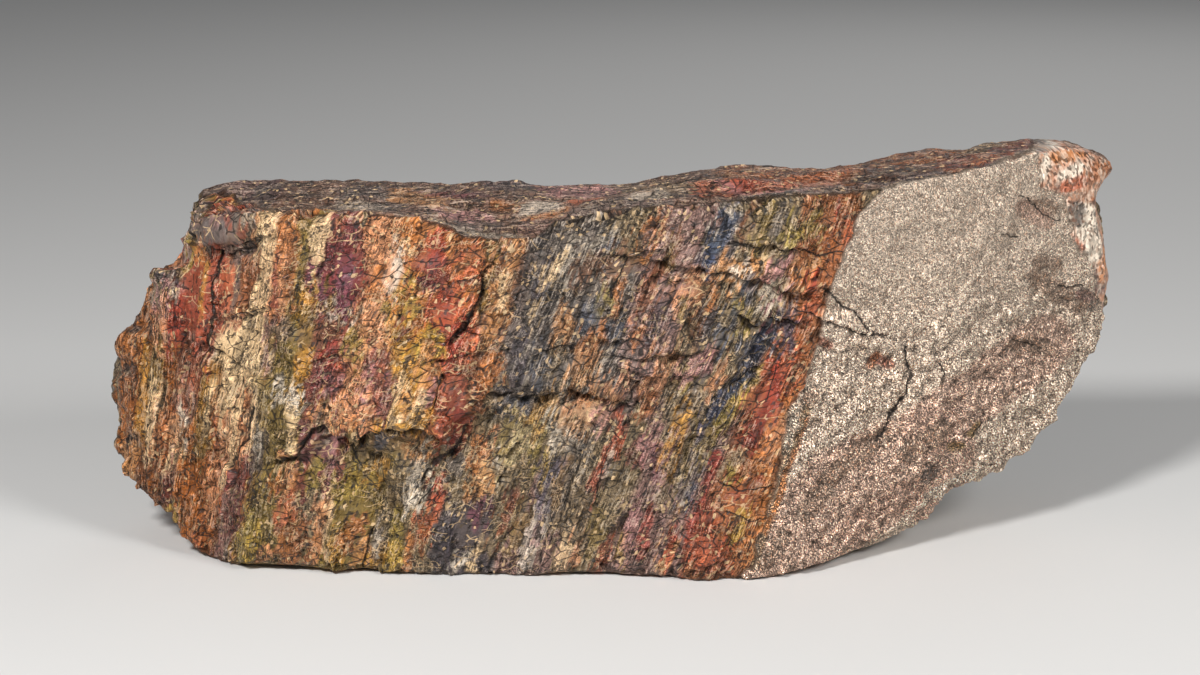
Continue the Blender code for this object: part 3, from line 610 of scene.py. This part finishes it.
def read_points(mesh):
    return read_vectors(mesh, "co") / MM + np.array(SHIFT)


def write_points(mesh, points):
    mesh.vertices.foreach_set("co", ((points - np.array(SHIFT)) * MM).ravel())
    mesh.update()


def face_view(points):
    """Where each point shows on the plane of the front face, seen from the eye."""
    spread = 1.0 + points[:, 1] / EYE_BACK
    return points[:, 0] / spread, EYE_HEIGHT + (points[:, 2] - EYE_HEIGHT) / spread


def grain_lean(across):
    share = np.clip((across - GRAIN_LEFT) / (GRAIN_RIGHT - GRAIN_LEFT), 0.0, 1.0)
    return GRAIN_LEAN_LEFT + (GRAIN_LEAN_RIGHT - GRAIN_LEAN_LEFT) * share


def grain_frame(points):
    """Each point across the grain, along it and into the stone."""
    lean = grain_lean(points[:, 0])
    across = points[:, 0] - lean * (points[:, 2] - GRAIN_HEIGHT)
    return np.stack([across, points[:, 2], points[:, 1]], axis=1)


def voxel_mesh(mesh):
    """A new mesh of small even faces round the old one."""
    carrier = bpy.data.objects.new("carrier", mesh)
    bpy.context.scene.collection.objects.link(carrier)
    modifier = carrier.modifiers.new("voxels", "REMESH")
    modifier.mode = "VOXEL"
    modifier.voxel_size = VOXEL * MM
    evaluated = carrier.evaluated_get(bpy.context.evaluated_depsgraph_get())
    changed = bpy.data.meshes.new_from_object(evaluated)
    bpy.data.objects.remove(carrier, do_unlink=True)
    return changed


def turn(mesh, degrees):
    """Turns the mesh about the line from front to back."""
    cosine, sine = math.cos(math.radians(degrees)), math.sin(math.radians(degrees))
    turned = np.array(((cosine, 0.0, sine), (0.0, 1.0, 0.0), (-sine, 0.0, cosine)))
    mesh.vertices.foreach_set("co", (read_vectors(mesh, "co") @ turned.T).ravel())
    mesh.update()


def halve_shown_faces(mesh):
    """Splits the faces that show most: the front, the ends in view and the top's near edge."""
    bm = bmesh.new()
    bm.from_mesh(mesh)
    chosen = set()
    for face in bm.faces:
        facing = face.normal
        middle = face.calc_center_median() / MM + Vector(SHIFT)
        near_rim = facing.z > RIM_FACING and middle.y < RIM_DEPTH
        if facing.y < FRONT_FACING or near_rim:
            chosen.update(face.edges)
    bmesh.ops.subdivide_edges(bm, edges=list(chosen), cuts=1, use_grid_fill=True)
    bm.to_mesh(mesh)
    bm.free()


def neighbour_mean(values, edges, rounds):
    """Each corner's value, averaged with its neighbours' a few times."""
    count = len(values)
    share = np.bincount(edges.ravel(), minlength=count)
    for _ in range(rounds):
        total = np.bincount(edges[:, 0], weights=values[edges[:, 1]], minlength=count)
        total += np.bincount(edges[:, 1], weights=values[edges[:, 0]], minlength=count)
        values = 0.5 * values + 0.5 * total / share
    return values


def read_edges(mesh):
    flat = np.empty(len(mesh.edges) * 2, dtype=np.int32)
    mesh.edges.foreach_get("vertices", flat)
    return flat.reshape(-1, 2)


def fine_base(node):
    """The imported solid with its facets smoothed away, in small even faces."""
    mesh = node.data.copy()
    turn(mesh, GRID_LEAN)
    mesh = voxel_mesh(mesh)
    turn(mesh, -GRID_LEAN)
    halve_shown_faces(mesh)
    edges = read_edges(mesh)
    points = read_points(mesh)
    for axis in range(3):
        points[:, axis] = neighbour_mean(points[:, axis], edges, SMOOTHING_ROUNDS)
    write_points(mesh, points)
    return mesh


def swell_relief(points):
    """Rises and hollows of the left end's outline."""
    across, up = face_view(points)
    height = np.zeros(len(across))
    for (middle_across, middle_up), (half_across, half_up), lift in SWELLS:
        away = np.hypot((across - middle_across) / half_across, (up - middle_up) / half_up)
        height += lift * (1.0 - smooth_step(away, 0.35, 1.0))
    return height * (1.0 - smooth_step(points[:, 1], 50.0, 80.0))


def calm_share(across, up):
    """How smooth the face is at each point, from 0 to 1."""
    share = np.zeros(len(across))
    for (middle_across, middle_up), (half_across, half_up) in CALM_SPOTS:
        away = np.hypot((across - middle_across) / half_across, (up - middle_up) / half_up)
        share = np.maximum(share, 1.0 - smooth_step(away, 0.7, 1.2))
    return share


class Stone:
    """What is known of each corner of the mesh: where it is, what it faces, what it is made of."""

    def __init__(self, mesh):
        self.points = read_points(mesh)
        self.facing = read_vectors(mesh, "normal")
        self.edges = read_edges(mesh)
        self.grain = grain_frame(self.points)
        self.front = smooth_step(-self.facing[:, 1], 0.10, 0.45)
        across, up = face_view(self.points)
        level = smooth_step(self.facing[:, 2], 0.60, 0.80)
        above_rim = smooth_step(up - np.interp(across, *zip(*RIM)), -1.0, 1.0)
        self.top = level * np.where(self.points[:, 1] < NEAR_TOP, above_rim, 1.0)
        self.top *= 1.0 - smooth_step(across, *TOP_END) * (self.points[:, 1] < RIND_BACK[0])
        self.under = smooth_step(-self.facing[:, 2], 0.60, 0.85)
        self.face = self.front * (1.0 - self.top)
        self.set_paint_places()
        self.set_kinds()
        self.calm = self.face * calm_share(self.across, self.up)

    def set_paint_places(self):
        """Across and up for the strokes: the eye's view in front, and much the same bands behind."""
        across, up = face_view(self.points)
        seen = np.maximum(self.front, self.top)
        drift = 16.0 * soft_noise(self.points / 60.0, 7) + 10.0 * soft_noise(self.points / 25.0, 8)
        behind_across = self.points[:, 0] + drift
        behind_up = self.points[:, 2] * 0.85 + 8.0 + 0.5 * drift
        self.across = seen * across + (1.0 - seen) * behind_across
        self.up = seen * up + (1.0 - seen) * behind_up

    def beyond(self, edge, wander):
        """How sure it is that each corner lies to the right of an edge, from 0 to 1."""
        heights, starts = zip(*edge)
        return smooth_step(self.across + wander - np.interp(self.up, heights, starts), -0.5, 0.5)

    def set_kinds(self):
        """How far each corner is rind, crystal or wood, and how streaky its wood is."""
        wander = 1.6 * soft_noise(self.points / 9.0, 3) + 0.8 * soft_noise(self.points / 3.5, 4)
        self.rind = self.beyond(RIND_EDGE, wander) * (1.0 - self.top)
        self.rind *= 1.0 - smooth_step(self.points[:, 1] + 3.0 * wander, *RIND_BACK)
        self.crystal = self.beyond(CRYSTAL_EDGE, wander) * self.rind
        self.crystal *= 1.0 - smooth_step(self.points[:, 1], *CRYSTAL_BACK)
        self.rind *= 1.0 - self.crystal
        self.wood = (1.0 - self.rind) * (1.0 - self.crystal) * (1.0 - self.top)
        left_end = smooth_step(-150.0 - self.across, -10.0, 10.0)
        right_part = smooth_step(self.across, -45.0, -20.0)
        self.streaky = 0.35 + 0.65 * np.maximum(left_end, 0.65 * right_part)


def ledge_relief(across, up):
    """Lips that stand out above their paths, with a groove under each."""
    height = np.zeros(len(across))
    for lip, reach, *places in LEDGES:
        nearest, above, outside = path_measure(across, up, places)
        ends = 1.0 - smooth_step(outside, 0.0, 7.0)
        near = 1.0 - smooth_step(nearest, 0.3 * reach, reach)
        height += lip * ends * near * smooth_step(above, -0.7, 0.7)
        groove = smooth_step(above, -3.2, -0.8) * (above < 0.6) * (nearest < 5.0)
        height -= 0.7 * lip * ends * groove
    return height


def crack_field(across, up):
    """Relief of the cracks, and the signed and the plain distance from the nearest crack or painted
    ledge shadow line, in half widths.
    """
    height = np.zeros(len(across))
    signed = np.full(len(across), 9.0)
    plain = np.full(len(across), 9.0)
    # Lines along each ledge's lower edge with no depth: a painted shadow under each lip.
    ledge_shadow_lines = tuple((0.07 * ledge[1] ** 0.7, 0.0, *ledge[2:]) for ledge in LEDGES)
    for half_width, depth, *places in CRACKS + ledge_shadow_lines:
        nearest, above, _ = path_measure(across, up, places)
        height -= 0.6 * depth * (1.0 - smooth_step(nearest, 0.3 * half_width, 0.9 + half_width))
        closer = nearest / half_width < plain
        plain[closer] = nearest[closer] / half_width
        signed[closer] = above[closer] / half_width
    return height, signed, plain


def chip_relief(grain, size, lift, slope, salt):
    """Broken chips: each cell has its own height and its own tilt."""
    size = np.array(size)
    warped = grain + 0.18 * size[0] * noise_vector(grain / (0.8 * size[0]), salt)
    home, middle = broken_cells(warped / size, salt + 3)
    offset = (warped / size - middle) * size
    tilt_across = cell_random(home, salt + 11) * 2.0 - 1.0
    tilt_along = cell_random(home, salt + 12) * 2.0 - 1.0
    height = lift * (cell_random(home, salt + 13) * 2.0 - 1.0)
    return height + slope * (offset[:, 0] * tilt_across + 0.6 * offset[:, 1] * tilt_along)


def splinter_relief(grain):
    long = 1.0 - 2.0 * np.abs(soft_noise(grain / np.array(LONG_SPLINTER), 61))
    fine = 1.0 - 2.0 * np.abs(soft_noise(grain / np.array(FINE_SPLINTER), 62))
    return 0.9 * long + 0.6 * fine - 0.8


def wood_relief(stone):
    """Splinters and broken chips, lower where the face is calm."""
    height = (0.5 + 0.6 * stone.streaky) * splinter_relief(stone.grain)
    height += chip_relief(stone.grain, BIG_CHIP, 1.3, 0.20, 101)
    height += chip_relief(stone.grain, SMALL_CHIP, 0.7, 0.30, 131)
    height += 0.25 * soft_noise(stone.points / 2.6, 41)
    return height * (1.0 - 0.6 * stone.calm)


def rind_relief(points):
    """Lumps and grains, rougher low down."""
    rough = 0.8 + 1.0 * smooth_step(150.0 - points[:, 2], 0.0, 60.0)
    lumps = 1.3 * soft_noise(points / 14.0, 71) + rough * soft_noise(points / 6.0, 72)
    grains = 0.8 * soft_noise(points / 3.0, 73) + 0.4 * soft_noise(points / 1.9, 74)
    return lumps + rough * grains


def crystal_relief(points):
    return 0.5 * soft_noise(points / 7.0, 51) + 0.5 * soft_noise(points / 2.7, 52)


def layer_relief(points):
    """Thin wavy layers that run the long way on the top and underneath."""
    waved = points + 6.0 * noise_vector(points / 40.0, 85)
    broad = soft_noise(waved / np.array(BROAD_LAYER), 81)
    steps = np.floor(broad * 4.0 + 0.5 * soft_noise(points / 8.0, 86)) / 4.0
    fine = soft_noise(waved / np.array(THIN_LAYER), 82)
    grit = soft_noise(points / 3.0, 83)
    return 2.4 * steps + 1.3 * fine + 0.5 * grit


def shape_stone(mesh, stone):
    """Moves the surface in and out, and keeps what the colours need to know of it: the cracks, and how
    far each corner sinks below its neighbours, for painted shade in hollows and painted highlight on
    rises.
    """
    wander = noise_vector(stone.points / 5.0, 31)
    fine_wander = noise_vector(stone.points / 2.6, 35)
    across = stone.across + 1.1 * wander[:, 0] + 0.5 * fine_wander[:, 0]
    up = stone.up + 1.1 * wander[:, 2] + 0.5 * fine_wander[:, 2]
    crack_height, stone.crack_signed, stone.crack_plain = crack_field(across, up)
    lift = stone.wood * wood_relief(stone)
    lift += stone.rind * rind_relief(stone.points)
    lift += stone.crystal * crystal_relief(stone.points)
    lift += stone.top * layer_relief(stone.points)
    lift += stone.face * (ledge_relief(across, up) + crack_height) + swell_relief(stone.points)
    stone.crack_plain = np.where(stone.face > 0.5, stone.crack_plain, 9.0)
    lift *= 1.0 - stone.under * smooth_step(8.0 - stone.points[:, 2], 0.0, 6.0)
    # Painted shade and highlight: how far each corner sinks below its neighbours, darkened in hollows
    # and lightened on rises by the material.
    stone.cavity = neighbour_mean(lift, stone.edges, 5) - lift
    moved = stone.points + stone.facing * lift[:, None]
    moved[:, 2] = np.maximum(moved[:, 2], 0.0)
    write_points(mesh, moved)


def linear(colour):
    """A picture colour from 0 to 255 as the light values that a shader takes."""
    share = np.array(colour) / 255.0
    return np.where(share <= 0.04045, share / 12.92, ((share + 0.055) / 1.055) ** 2.4)


PAINTS = {name: linear(colour) for name, colour in PALETTE.items()}


def lay_strokes(colours, across, up, strokes, strength):
    """Lays each stroke over what is there, with a soft edge in step with its width."""
    for name, half, *places in strokes:
        reach = 1.2 * half + 1.0
        xs, zs = places[::2], places[1::2]
        inside = (across > min(xs) - reach) & (across < max(xs) + reach)
        inside &= (up > min(zs) - reach) & (up < max(zs) + reach)
        near = np.flatnonzero(inside)
        distance = path_measure(across[near], up[near], places)[0]
        share = strength * (1.0 - smooth_step(distance, 0.85 * half, 1.05 * half + 0.4))
        colours[near] += share[:, None] * (PAINTS[name] - colours[near])


def painted(ground, across, up, *layers):
    """A ground colour with sets of strokes over it, each set with its strength."""
    colours = np.tile(PAINTS[ground], (len(across), 1))
    for strokes, strength in layers:
        lay_strokes(colours, across, up, strokes, strength)
    return colours


def paint(stone, jump, salt):
    """The colour of each corner, looked up a random jump away so that edges come out broken."""
    home, _ = broken_cells(stone.grain / np.array(PAINT_CHIP), salt)
    scatter = np.stack([cell_random(home, salt + 21 + axis) - 0.5 for axis in range(2)], axis=1)
    soft = noise_vector(stone.points / 7.0, salt + 31)
    across = stone.across + jump * (1.0 * scatter[:, 0] + 0.6 * soft[:, 0])
    up = stone.up + jump * (7.0 * scatter[:, 1] + 1.4 * soft[:, 1])
    wood = painted("khaki", across, up, *WOOD_LAYERS)
    long_across = stone.across + jump * (3.0 * soft[:, 0] + 2.0 * scatter[:, 0])
    flat_up = stone.up + 0.35 * jump * soft[:, 1]
    top = painted("layer", long_across, flat_up, (TOP_STROKES, 0.55))
    near_across = stone.across + 0.5 * jump * soft[:, 0]
    near_up = stone.up + 0.5 * jump * soft[:, 1]
    rind = painted("granule", near_across, near_up, (RIND_STROKES, 0.8))
    crystal = painted("crystal", near_across, near_up, (CRYSTAL_STROKES, 0.9))
    colours = wood + stone.top[:, None] * (top - wood)
    colours += stone.rind[:, None] * (rind - colours)
    return colours + stone.crystal[:, None] * (crystal - colours)


def keep_colour(mesh, name, values):
    attribute = mesh.attributes.new(name, "FLOAT_COLOR", "POINT")
    filled = np.ones((len(mesh.vertices), 4), dtype=np.float32)
    filled[:, : values.shape[1]] = values
    attribute.data.foreach_set("color", filled.ravel())


def keep_vector(mesh, name, values):
    attribute = mesh.attributes.new(name, "FLOAT_VECTOR", "POINT")
    attribute.data.foreach_set("vector", values.astype(np.float32).ravel())


def surface_places(stone):
    """Across and along for the fine patterns: with the grain, the layers or the granules."""
    x, y, z = stone.points.T
    behind = stone.facing[:, 1] > 0.0
    share = 0.7 * np.clip(x / 100.0, -1.0, 1.0) * np.where(behind, -1.0, 1.0)
    level_across = x + share * np.where(behind, y - BACK_DEPTH, y)
    bend = noise_vector(stone.points / 9.0, 401)
    wood = np.stack([level_across - grain_lean(x) * (z - GRAIN_HEIGHT), z], axis=1)
    layered = np.stack([y + 0.7 * z + 5.0 * soft_noise(stone.points / 40.0, 405), x], axis=1)
    granular = np.stack([level_across, z], axis=1)
    places = np.where((stone.rind + stone.crystal > 0.5)[:, None], granular, wood)
    places = np.where((stone.top + stone.under > 0.5)[:, None], layered, places)
    places[:, 0] += 0.5 * bend[:, 0]
    places[:, 1] += 2.0 * bend[:, 1]
    return np.column_stack([places, np.zeros(len(x))])


def store_looks(mesh, stone):
    """Writes onto the mesh what the material reads."""
    keep_colour(mesh, "paint_near", paint(stone, 1.0, 201))
    keep_colour(mesh, "paint_far", paint(stone, 2.6, 301))
    keep_vector(mesh, "place", surface_places(stone))
    calm = stone.calm
    streaky = np.maximum(stone.streaky * (1.0 - 0.8 * calm), 0.9 * stone.top)
    keep_vector(mesh, "kind", np.stack([stone.rind, stone.crystal, streaky], axis=1))
    keep_vector(mesh, "calm", np.stack([calm, calm, calm], axis=1))
    keep_vector(mesh, "crack_and_shade", np.stack([stone.crack_signed, stone.crack_plain, stone.cavity], axis=1))


class Nodes:
    """Short ways to add and join the nodes of one material."""

    def __init__(self, material):
        material.use_nodes = True
        self.tree = material.node_tree
        self.shader = self.tree.nodes["Principled BSDF"]

    def feed(self, socket, value):
        if isinstance(value, bpy.types.NodeSocket):
            self.tree.links.new(value, socket)
        else:
            socket.default_value = value

    def add(self, kind, inputs, **settings):
        node = self.tree.nodes.new(kind)
        for setting, value in settings.items():
            setattr(node, setting, value)
        for name, value in inputs.items():
            self.feed(node.inputs[name], value)
        return node

    def attribute(self, name, output):
        return self.add("ShaderNodeAttribute", {}, attribute_name=name).outputs[output]

    def parts(self, vector):
        return self.add("ShaderNodeSeparateXYZ", {0: vector}).outputs

    def maths(self, operation, *values):
        return self.add("ShaderNodeMath", dict(enumerate(values)), operation=operation).outputs[0]

    def product(self, first, second):
        return self.maths("MULTIPLY", first, second)

    def swing(self, value, amount):
        """A value from 0 to 1 turned into one that swings evenly round 0."""
        return self.maths("MULTIPLY_ADD", value, amount, -0.5 * amount)

    def vector(self, operation, first, second):
        return self.add("ShaderNodeVectorMath", {0: first, 1: second}, operation=operation).outputs[0]

    def scaled(self, place, size):
        return self.vector("DIVIDE", place, (*size, 1.0))

    def noise(self, place, size, detail=2.0, roughness=0.6):
        inputs = {"Vector": self.scaled(place, size), "Scale": 1.0}
        inputs.update({"Detail": detail, "Roughness": roughness})
        return self.add("ShaderNodeTexNoise", inputs, noise_dimensions="2D").outputs["Fac"]

    def cells(self, place, size):
        """Broken cells: the random parts of each cell, and a height that tilts each cell its own way."""
        inputs = {"Vector": self.scaled(place, size), "Scale": 1.0}
        node = self.add("ShaderNodeTexVoronoi", inputs, voronoi_dimensions="2D")
        random = node.outputs["Color"]
        offset = self.vector("SUBTRACT", inputs["Vector"], node.outputs["Position"])
        slope = self.vector("SUBTRACT", random, (0.5, 0.5, 0.5))
        tilt = self.add("ShaderNodeVectorMath", {0: offset, 1: slope}, operation="DOT_PRODUCT")
        return self.parts(random), tilt.outputs["Value"]

    def seams(self, place, size):
        """How far it is to the nearest border between broken cells."""
        inputs = {"Vector": self.scaled(place, size), "Scale": 1.0}
        settings = {"feature": "DISTANCE_TO_EDGE", "voronoi_dimensions": "2D"}
        return self.add("ShaderNodeTexVoronoi", inputs, **settings).outputs["Distance"]

    def total(self, *values):
        joined = values[0]
        for value in values[1:]:
            joined = self.maths("ADD", joined, value)
        return joined

    def step(self, value, low, high, start=0.0, end=1.0):
        inputs = {"Value": value, "From Min": low, "From Max": high, "To Min": start, "To Max": end}
        return self.add("ShaderNodeMapRange", inputs, interpolation_type="SMOOTHSTEP").outputs["Result"]

    def blend(self, share, first, second, mode="MIX"):
        node = self.add("ShaderNodeMix", {}, data_type="RGBA", blend_type=mode)
        self.feed(node.inputs["Factor"], share)
        self.feed(node.inputs[6], first)
        self.feed(node.inputs[7], second)
        return node.outputs[2]

    def mix(self, share, first, second):
        return self.add("ShaderNodeMix", {0: share, 2: first, 3: second}).outputs[0]

    def brighten(self, colour, factor):
        scaled = {0: colour, "Scale": factor}
        return self.add("ShaderNodeVectorMath", scaled, operation="SCALE").outputs[0]


def rgba(name):
    return (*[float(value) for value in PAINTS[name]], 1.0)


class Wood:
    """Plates and splinters, each with its own tilt and its own painted light and shade (partly its own
    tone), with pale seams and painted shade in the dark seams between.
    """

    def __init__(self, n, place, streaky):
        self.n = n
        self.streaky = streaky
        (self.plate_pick, self.plate_tone, _), self.plate_tilt = n.cells(place, PLATE)
        (self.long_pick, self.long_tone, _), self.long_tilt = n.cells(place, SPLINTER)
        (self.chip_pale, self.chip_tone, self.chip_dark), self.chip_tilt = n.cells(place, CHIP)
        self.grit = n.noise(place, GRIT)
        self.fine = n.noise(place, FIBRE, 3.0, 0.65)
        self.streak = n.noise(place, STREAK, 3.0, 0.65)
        self.patch = n.noise(place, WOOD_PATCH)
        self.lively = n.maths("MULTIPLY_ADD", n.attribute("calm", "Fac"), -0.75, 1.0)
        self.rough = n.product(n.step(self.patch, 0.36, 0.60, 0.35, 1.45), self.lively)
        seam = n.seams(place, SEAM)
        pale = n.product(n.step(seam, 0.02, 0.07, 1.0, 0.0), n.step(self.patch, 0.53, 0.58))
        self.pale_seam = n.product(pale, n.step(streaky, 0.4, 0.9, 1.0, 0.35))
        # Painted shade: black lines along the seams, standing for the crevices between plates.
        seam_shade_patch = n.step(self.patch, 0.41, 0.46, 1.0, 0.0)
        self.shaded_seam = n.product(n.step(seam, 0.02, 0.08, 1.0, 0.0), seam_shade_patch)

    def picked_paint(self):
        """One of the two paints for each plate and splinter."""
        n = self.n
        between = n.maths("SUBTRACT", self.long_pick, self.plate_pick)
        picked = n.maths("MULTIPLY_ADD", between, self.streaky, self.plate_pick)
        share = n.product(n.step(picked, 0.45, 0.55), self.lively)
        return n.blend(share, n.attribute("paint_near", "Color"), n.attribute("paint_far", "Color"))

    def light(self):
        """How bright each place is, from the plate, the splinter, the chip and the fibre it lies in:
        partly their own tone, partly painted light and shade of their facets.
        """
        n = self.n
        splinters = n.total(n.swing(self.long_tone, 1.0), n.swing(self.streak, 6.0))
        chips = n.total(n.swing(self.plate_tone, 0.8), n.swing(self.chip_tone, 1.2))
        broad = n.total(chips, n.product(splinters, self.streaky))
        grain = n.total(broad, n.swing(self.grit, 4.0), n.swing(self.fine, 3.0))
        return n.maths("EXPONENT", n.product(grain, self.rough))

    def colour(self):
        n = self.n
        light = self.light()
        colour = n.brighten(self.picked_paint(), n.maths("MINIMUM", light, 1.7))
        # Painted highlight: the brightest places turn pale.
        colour = n.blend(n.step(light, 1.7, 3.4, 0.0, 0.4), colour, rgba("pale"))
        colour = n.blend(n.product(self.pale_seam, 0.6), colour, rgba("cream"))
        # Painted shade in the seams.
        colour = n.blend(n.product(self.shaded_seam, 0.8), colour, rgba("black"))
        # Cream flecks: partly pale chips, partly painted glints.
        colour = n.blend(n.step(self.chip_pale, 0.94, 0.98, 0.0, 0.7), colour, rgba("cream"))
        # Painted shade: black specks standing for small crevices.
        return n.blend(n.step(self.chip_dark, 0.90, 0.94, 0.0, 0.75), colour, rgba("black"))

    def height(self):
        n = self.n
        height = n.maths("MULTIPLY_ADD", self.plate_tilt, 4.0, n.product(self.chip_tilt, 2.2))
        splinters = n.total(n.product(self.long_tilt, 2.4), self.streak)
        height = n.maths("MULTIPLY_ADD", splinters, self.streaky, height)
        height = n.maths("MULTIPLY_ADD", n.total(self.fine, self.grit), 0.9, height)
        height = n.product(height, n.maths("MINIMUM", self.rough, 1.0))
        return n.maths("SUBTRACT", height, n.product(self.shaded_seam, 0.6))


def rind_colour(n, place):
    """Crowded granules in cream, tan and pink, with thin dark wrinkles painted as the shade in their
    grooves, rougher low down.
    """
    (tone, tint, paleness), tilt = n.cells(place, GRANULE)
    fine = n.noise(place, SPECK)
    mottle = n.noise(place, MOTTLE, 3.0, 0.6)
    raised = n.maths("MULTIPLY_ADD", mottle, 60.0, n.parts(place)[1])
    contrast = n.step(raised, 105.0, 190.0, 1.2, 0.65)
    speckle = n.total(n.swing(tone, 1.2), n.swing(fine, 5.5))
    light = n.maths("EXPONENT", n.product(speckle, contrast))
    pink = n.step(tint, 0.6, 0.9, 0.0, 0.3)
    colour = n.blend(pink, n.attribute("paint_near", "Color"), rgba("salmon"))
    colour = n.blend(n.step(paleness, 0.75, 0.95, 0.0, 0.3), colour, rgba("pale"))
    wave = n.noise(place, WRINKLE, 3.0, 0.6)
    # Painted shade: dark lines in the grooves of the wrinkles.
    shaded_wrinkle = n.step(n.maths("ABSOLUTE", n.maths("SUBTRACT", wave, 0.5)), 0.0, 0.04, 1.0, 0.0)
    shaded_wrinkle = n.product(shaded_wrinkle, n.product(contrast, 0.75))
    colour = n.blend(shaded_wrinkle, n.brighten(colour, light), rgba("umber"))
    height = n.maths("MULTIPLY_ADD", tilt, 2.0, n.product(fine, 1.6))
    return colour, n.maths("SUBTRACT", height, n.product(shaded_wrinkle, 1.2))


def crystal_colour(n, place):
    """Orange and white crystal crust, with small dark gaps."""
    (tone, tint, paleness), tilt = n.cells(place, CRYSTAL)
    patch = n.noise(place, CRUST_PATCH, 3.0, 0.65)
    white = n.step(patch, 0.45, 0.65, 0.05, 0.55)
    colour = n.blend(white, n.attribute("paint_near", "Color"), rgba("pale"))
    colour = n.blend(n.step(tint, 0.7, 0.9, 0.0, 0.4), colour, rgba("rust"))
    light = n.step(tone, 0.0, 0.6, 0.5, 1.12)
    return n.brighten(colour, light), n.maths("MULTIPLY_ADD", tilt, 1.8, n.product(light, 0.4))


def crack_share(n, place, signed, plain):
    """How far each place lies in a crack, from 0 to 1, with ragged edges: black is painted there as the
    crack's shade, and the bump sinks.
    """
    ragged = n.maths("ADD", signed, n.swing(n.noise(place, RAGGED_CRACK), 2.4))
    crack_and_shade = n.step(n.maths("ABSOLUTE", ragged), 0.35, 0.95, 1.0, 0.0)
    return n.product(crack_and_shade, n.step(plain, 1.8, 2.8, 1.0, 0.0))


def stone_material():
    material = bpy.data.materials.new("petrified_wood_surface")
    n = Nodes(material)
    place = n.attribute("place", "Vector")
    rind, crystal, streaky = n.parts(n.attribute("kind", "Vector"))
    signed, plain, cavity = n.parts(n.attribute("crack_and_shade", "Vector"))
    wood = Wood(n, place, streaky)
    granules, granule_height = rind_colour(n, place)
    crystals, crystal_height = crystal_colour(n, place)
    rind_share = n.step(rind, 0.4, 0.6)
    crystal_share = n.step(crystal, 0.4, 0.6)
    crack_and_shade = crack_share(n, place, signed, plain)
    colour = n.blend(crystal_share, n.blend(rind_share, wood.colour(), granules), crystals)
    # Painted shade in the hollows and painted highlight on the rises.
    colour = n.brighten(colour, n.step(cavity, -1.2, 1.4, 1.4, 0.32))
    # Painted shade: black in the cracks and along the painted shadow lines under the ledges.
    colour = n.blend(n.product(crack_and_shade, 0.9), colour, rgba("black"))
    height = n.mix(rind_share, wood.height(), granule_height)
    height = n.mix(crystal_share, height, crystal_height)
    height = n.maths("SUBTRACT", height, n.product(crack_and_shade, 0.9))
    bump = n.add("ShaderNodeBump", {"Height": height, "Distance": MM, "Strength": 1.0})
    rough = n.step(n.noise(place, GLOSS_PATCH), 0.35, 0.65, 0.28, 0.60)
    rough = n.maths("MAXIMUM", rough, n.product(rind_share, 0.85))
    n.feed(n.shader.inputs["Base Color"], colour)
    n.feed(n.shader.inputs["Roughness"], rough)
    n.feed(n.shader.inputs["Normal"], bump.outputs[0])
    n.shader.inputs["Specular IOR Level"].default_value = 0.5
    return material


def build_stone():
    mesh = fine_base(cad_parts[NODE])
    stone = Stone(mesh)
    shape_stone(mesh, stone)
    store_looks(mesh, stone)
    mesh.shade_smooth()
    mesh.materials.clear()
    mesh.materials.append(stone_material())
    piece = bpy.data.objects.new("petrified_wood_surface", mesh)
    bpy.context.scene.collection.objects.link(piece)
    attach(piece, "root")
    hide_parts(NODE)


def build_floor():
    bpy.ops.mesh.primitive_plane_add(size=2.0 * FLOOR_HALF, location=(0.0, 0.0, 0.0))
    floor = bpy.context.object
    floor.name = "floor"
    material = bpy.data.materials.new("floor")
    material.use_nodes = True
    shader = material.node_tree.nodes["Principled BSDF"]
    shader.inputs["Base Color"].default_value = FLOOR_COLOUR
    shader.inputs["Roughness"].default_value = 0.9
    shader.inputs["Specular IOR Level"].default_value = 0.1
    floor.data.materials.append(material)


def build_lights():
    target = Vector(LIGHT_TARGET)
    for name, azimuth, elevation, distance, width, power in LIGHTS:
        lamp = bpy.data.lights.new(name, "AREA")
        lamp.shape = "DISK"
        lamp.size = width
        lamp.energy = power
        holder = bpy.data.objects.new(name, lamp)
        bpy.context.scene.collection.objects.link(holder)
        turned, raised = math.radians(azimuth), math.radians(elevation)
        level = math.cos(raised) * distance
        offset = (math.sin(turned) * level, -math.cos(turned) * level, math.sin(raised) * distance)
        holder.location = target + Vector(offset)
        holder.rotation_euler = (target - holder.location).to_track_quat("-Z", "Y").to_euler()
    world = bpy.data.worlds.new("studio")
    world.use_nodes = True
    sky = world.node_tree.nodes["Background"]
    sky.inputs["Color"].default_value = SKY
    sky.inputs["Strength"].default_value = SKY_STRENGTH
    bpy.context.scene.world = world


def build_camera():
    camera_data = bpy.data.cameras.new("camera")
    camera_data.sensor_width = SENSOR
    camera_data.lens = LENS
    camera_data.clip_start = 0.01
    camera = bpy.data.objects.new("camera", camera_data)
    bpy.context.scene.collection.objects.link(camera)
    camera.location = (-SHIFT[0] * MM, (-EYE_BACK - SHIFT[1]) * MM, EYE_HEIGHT * MM)
    camera.rotation_euler = (math.radians(90.0 - EYE_PITCH), 0.0, 0.0)
    bpy.context.scene.camera = camera


build_camera()
build_lights()
build_floor()
build_stone()
bpy.context.scene.view_settings.view_transform = "Standard"
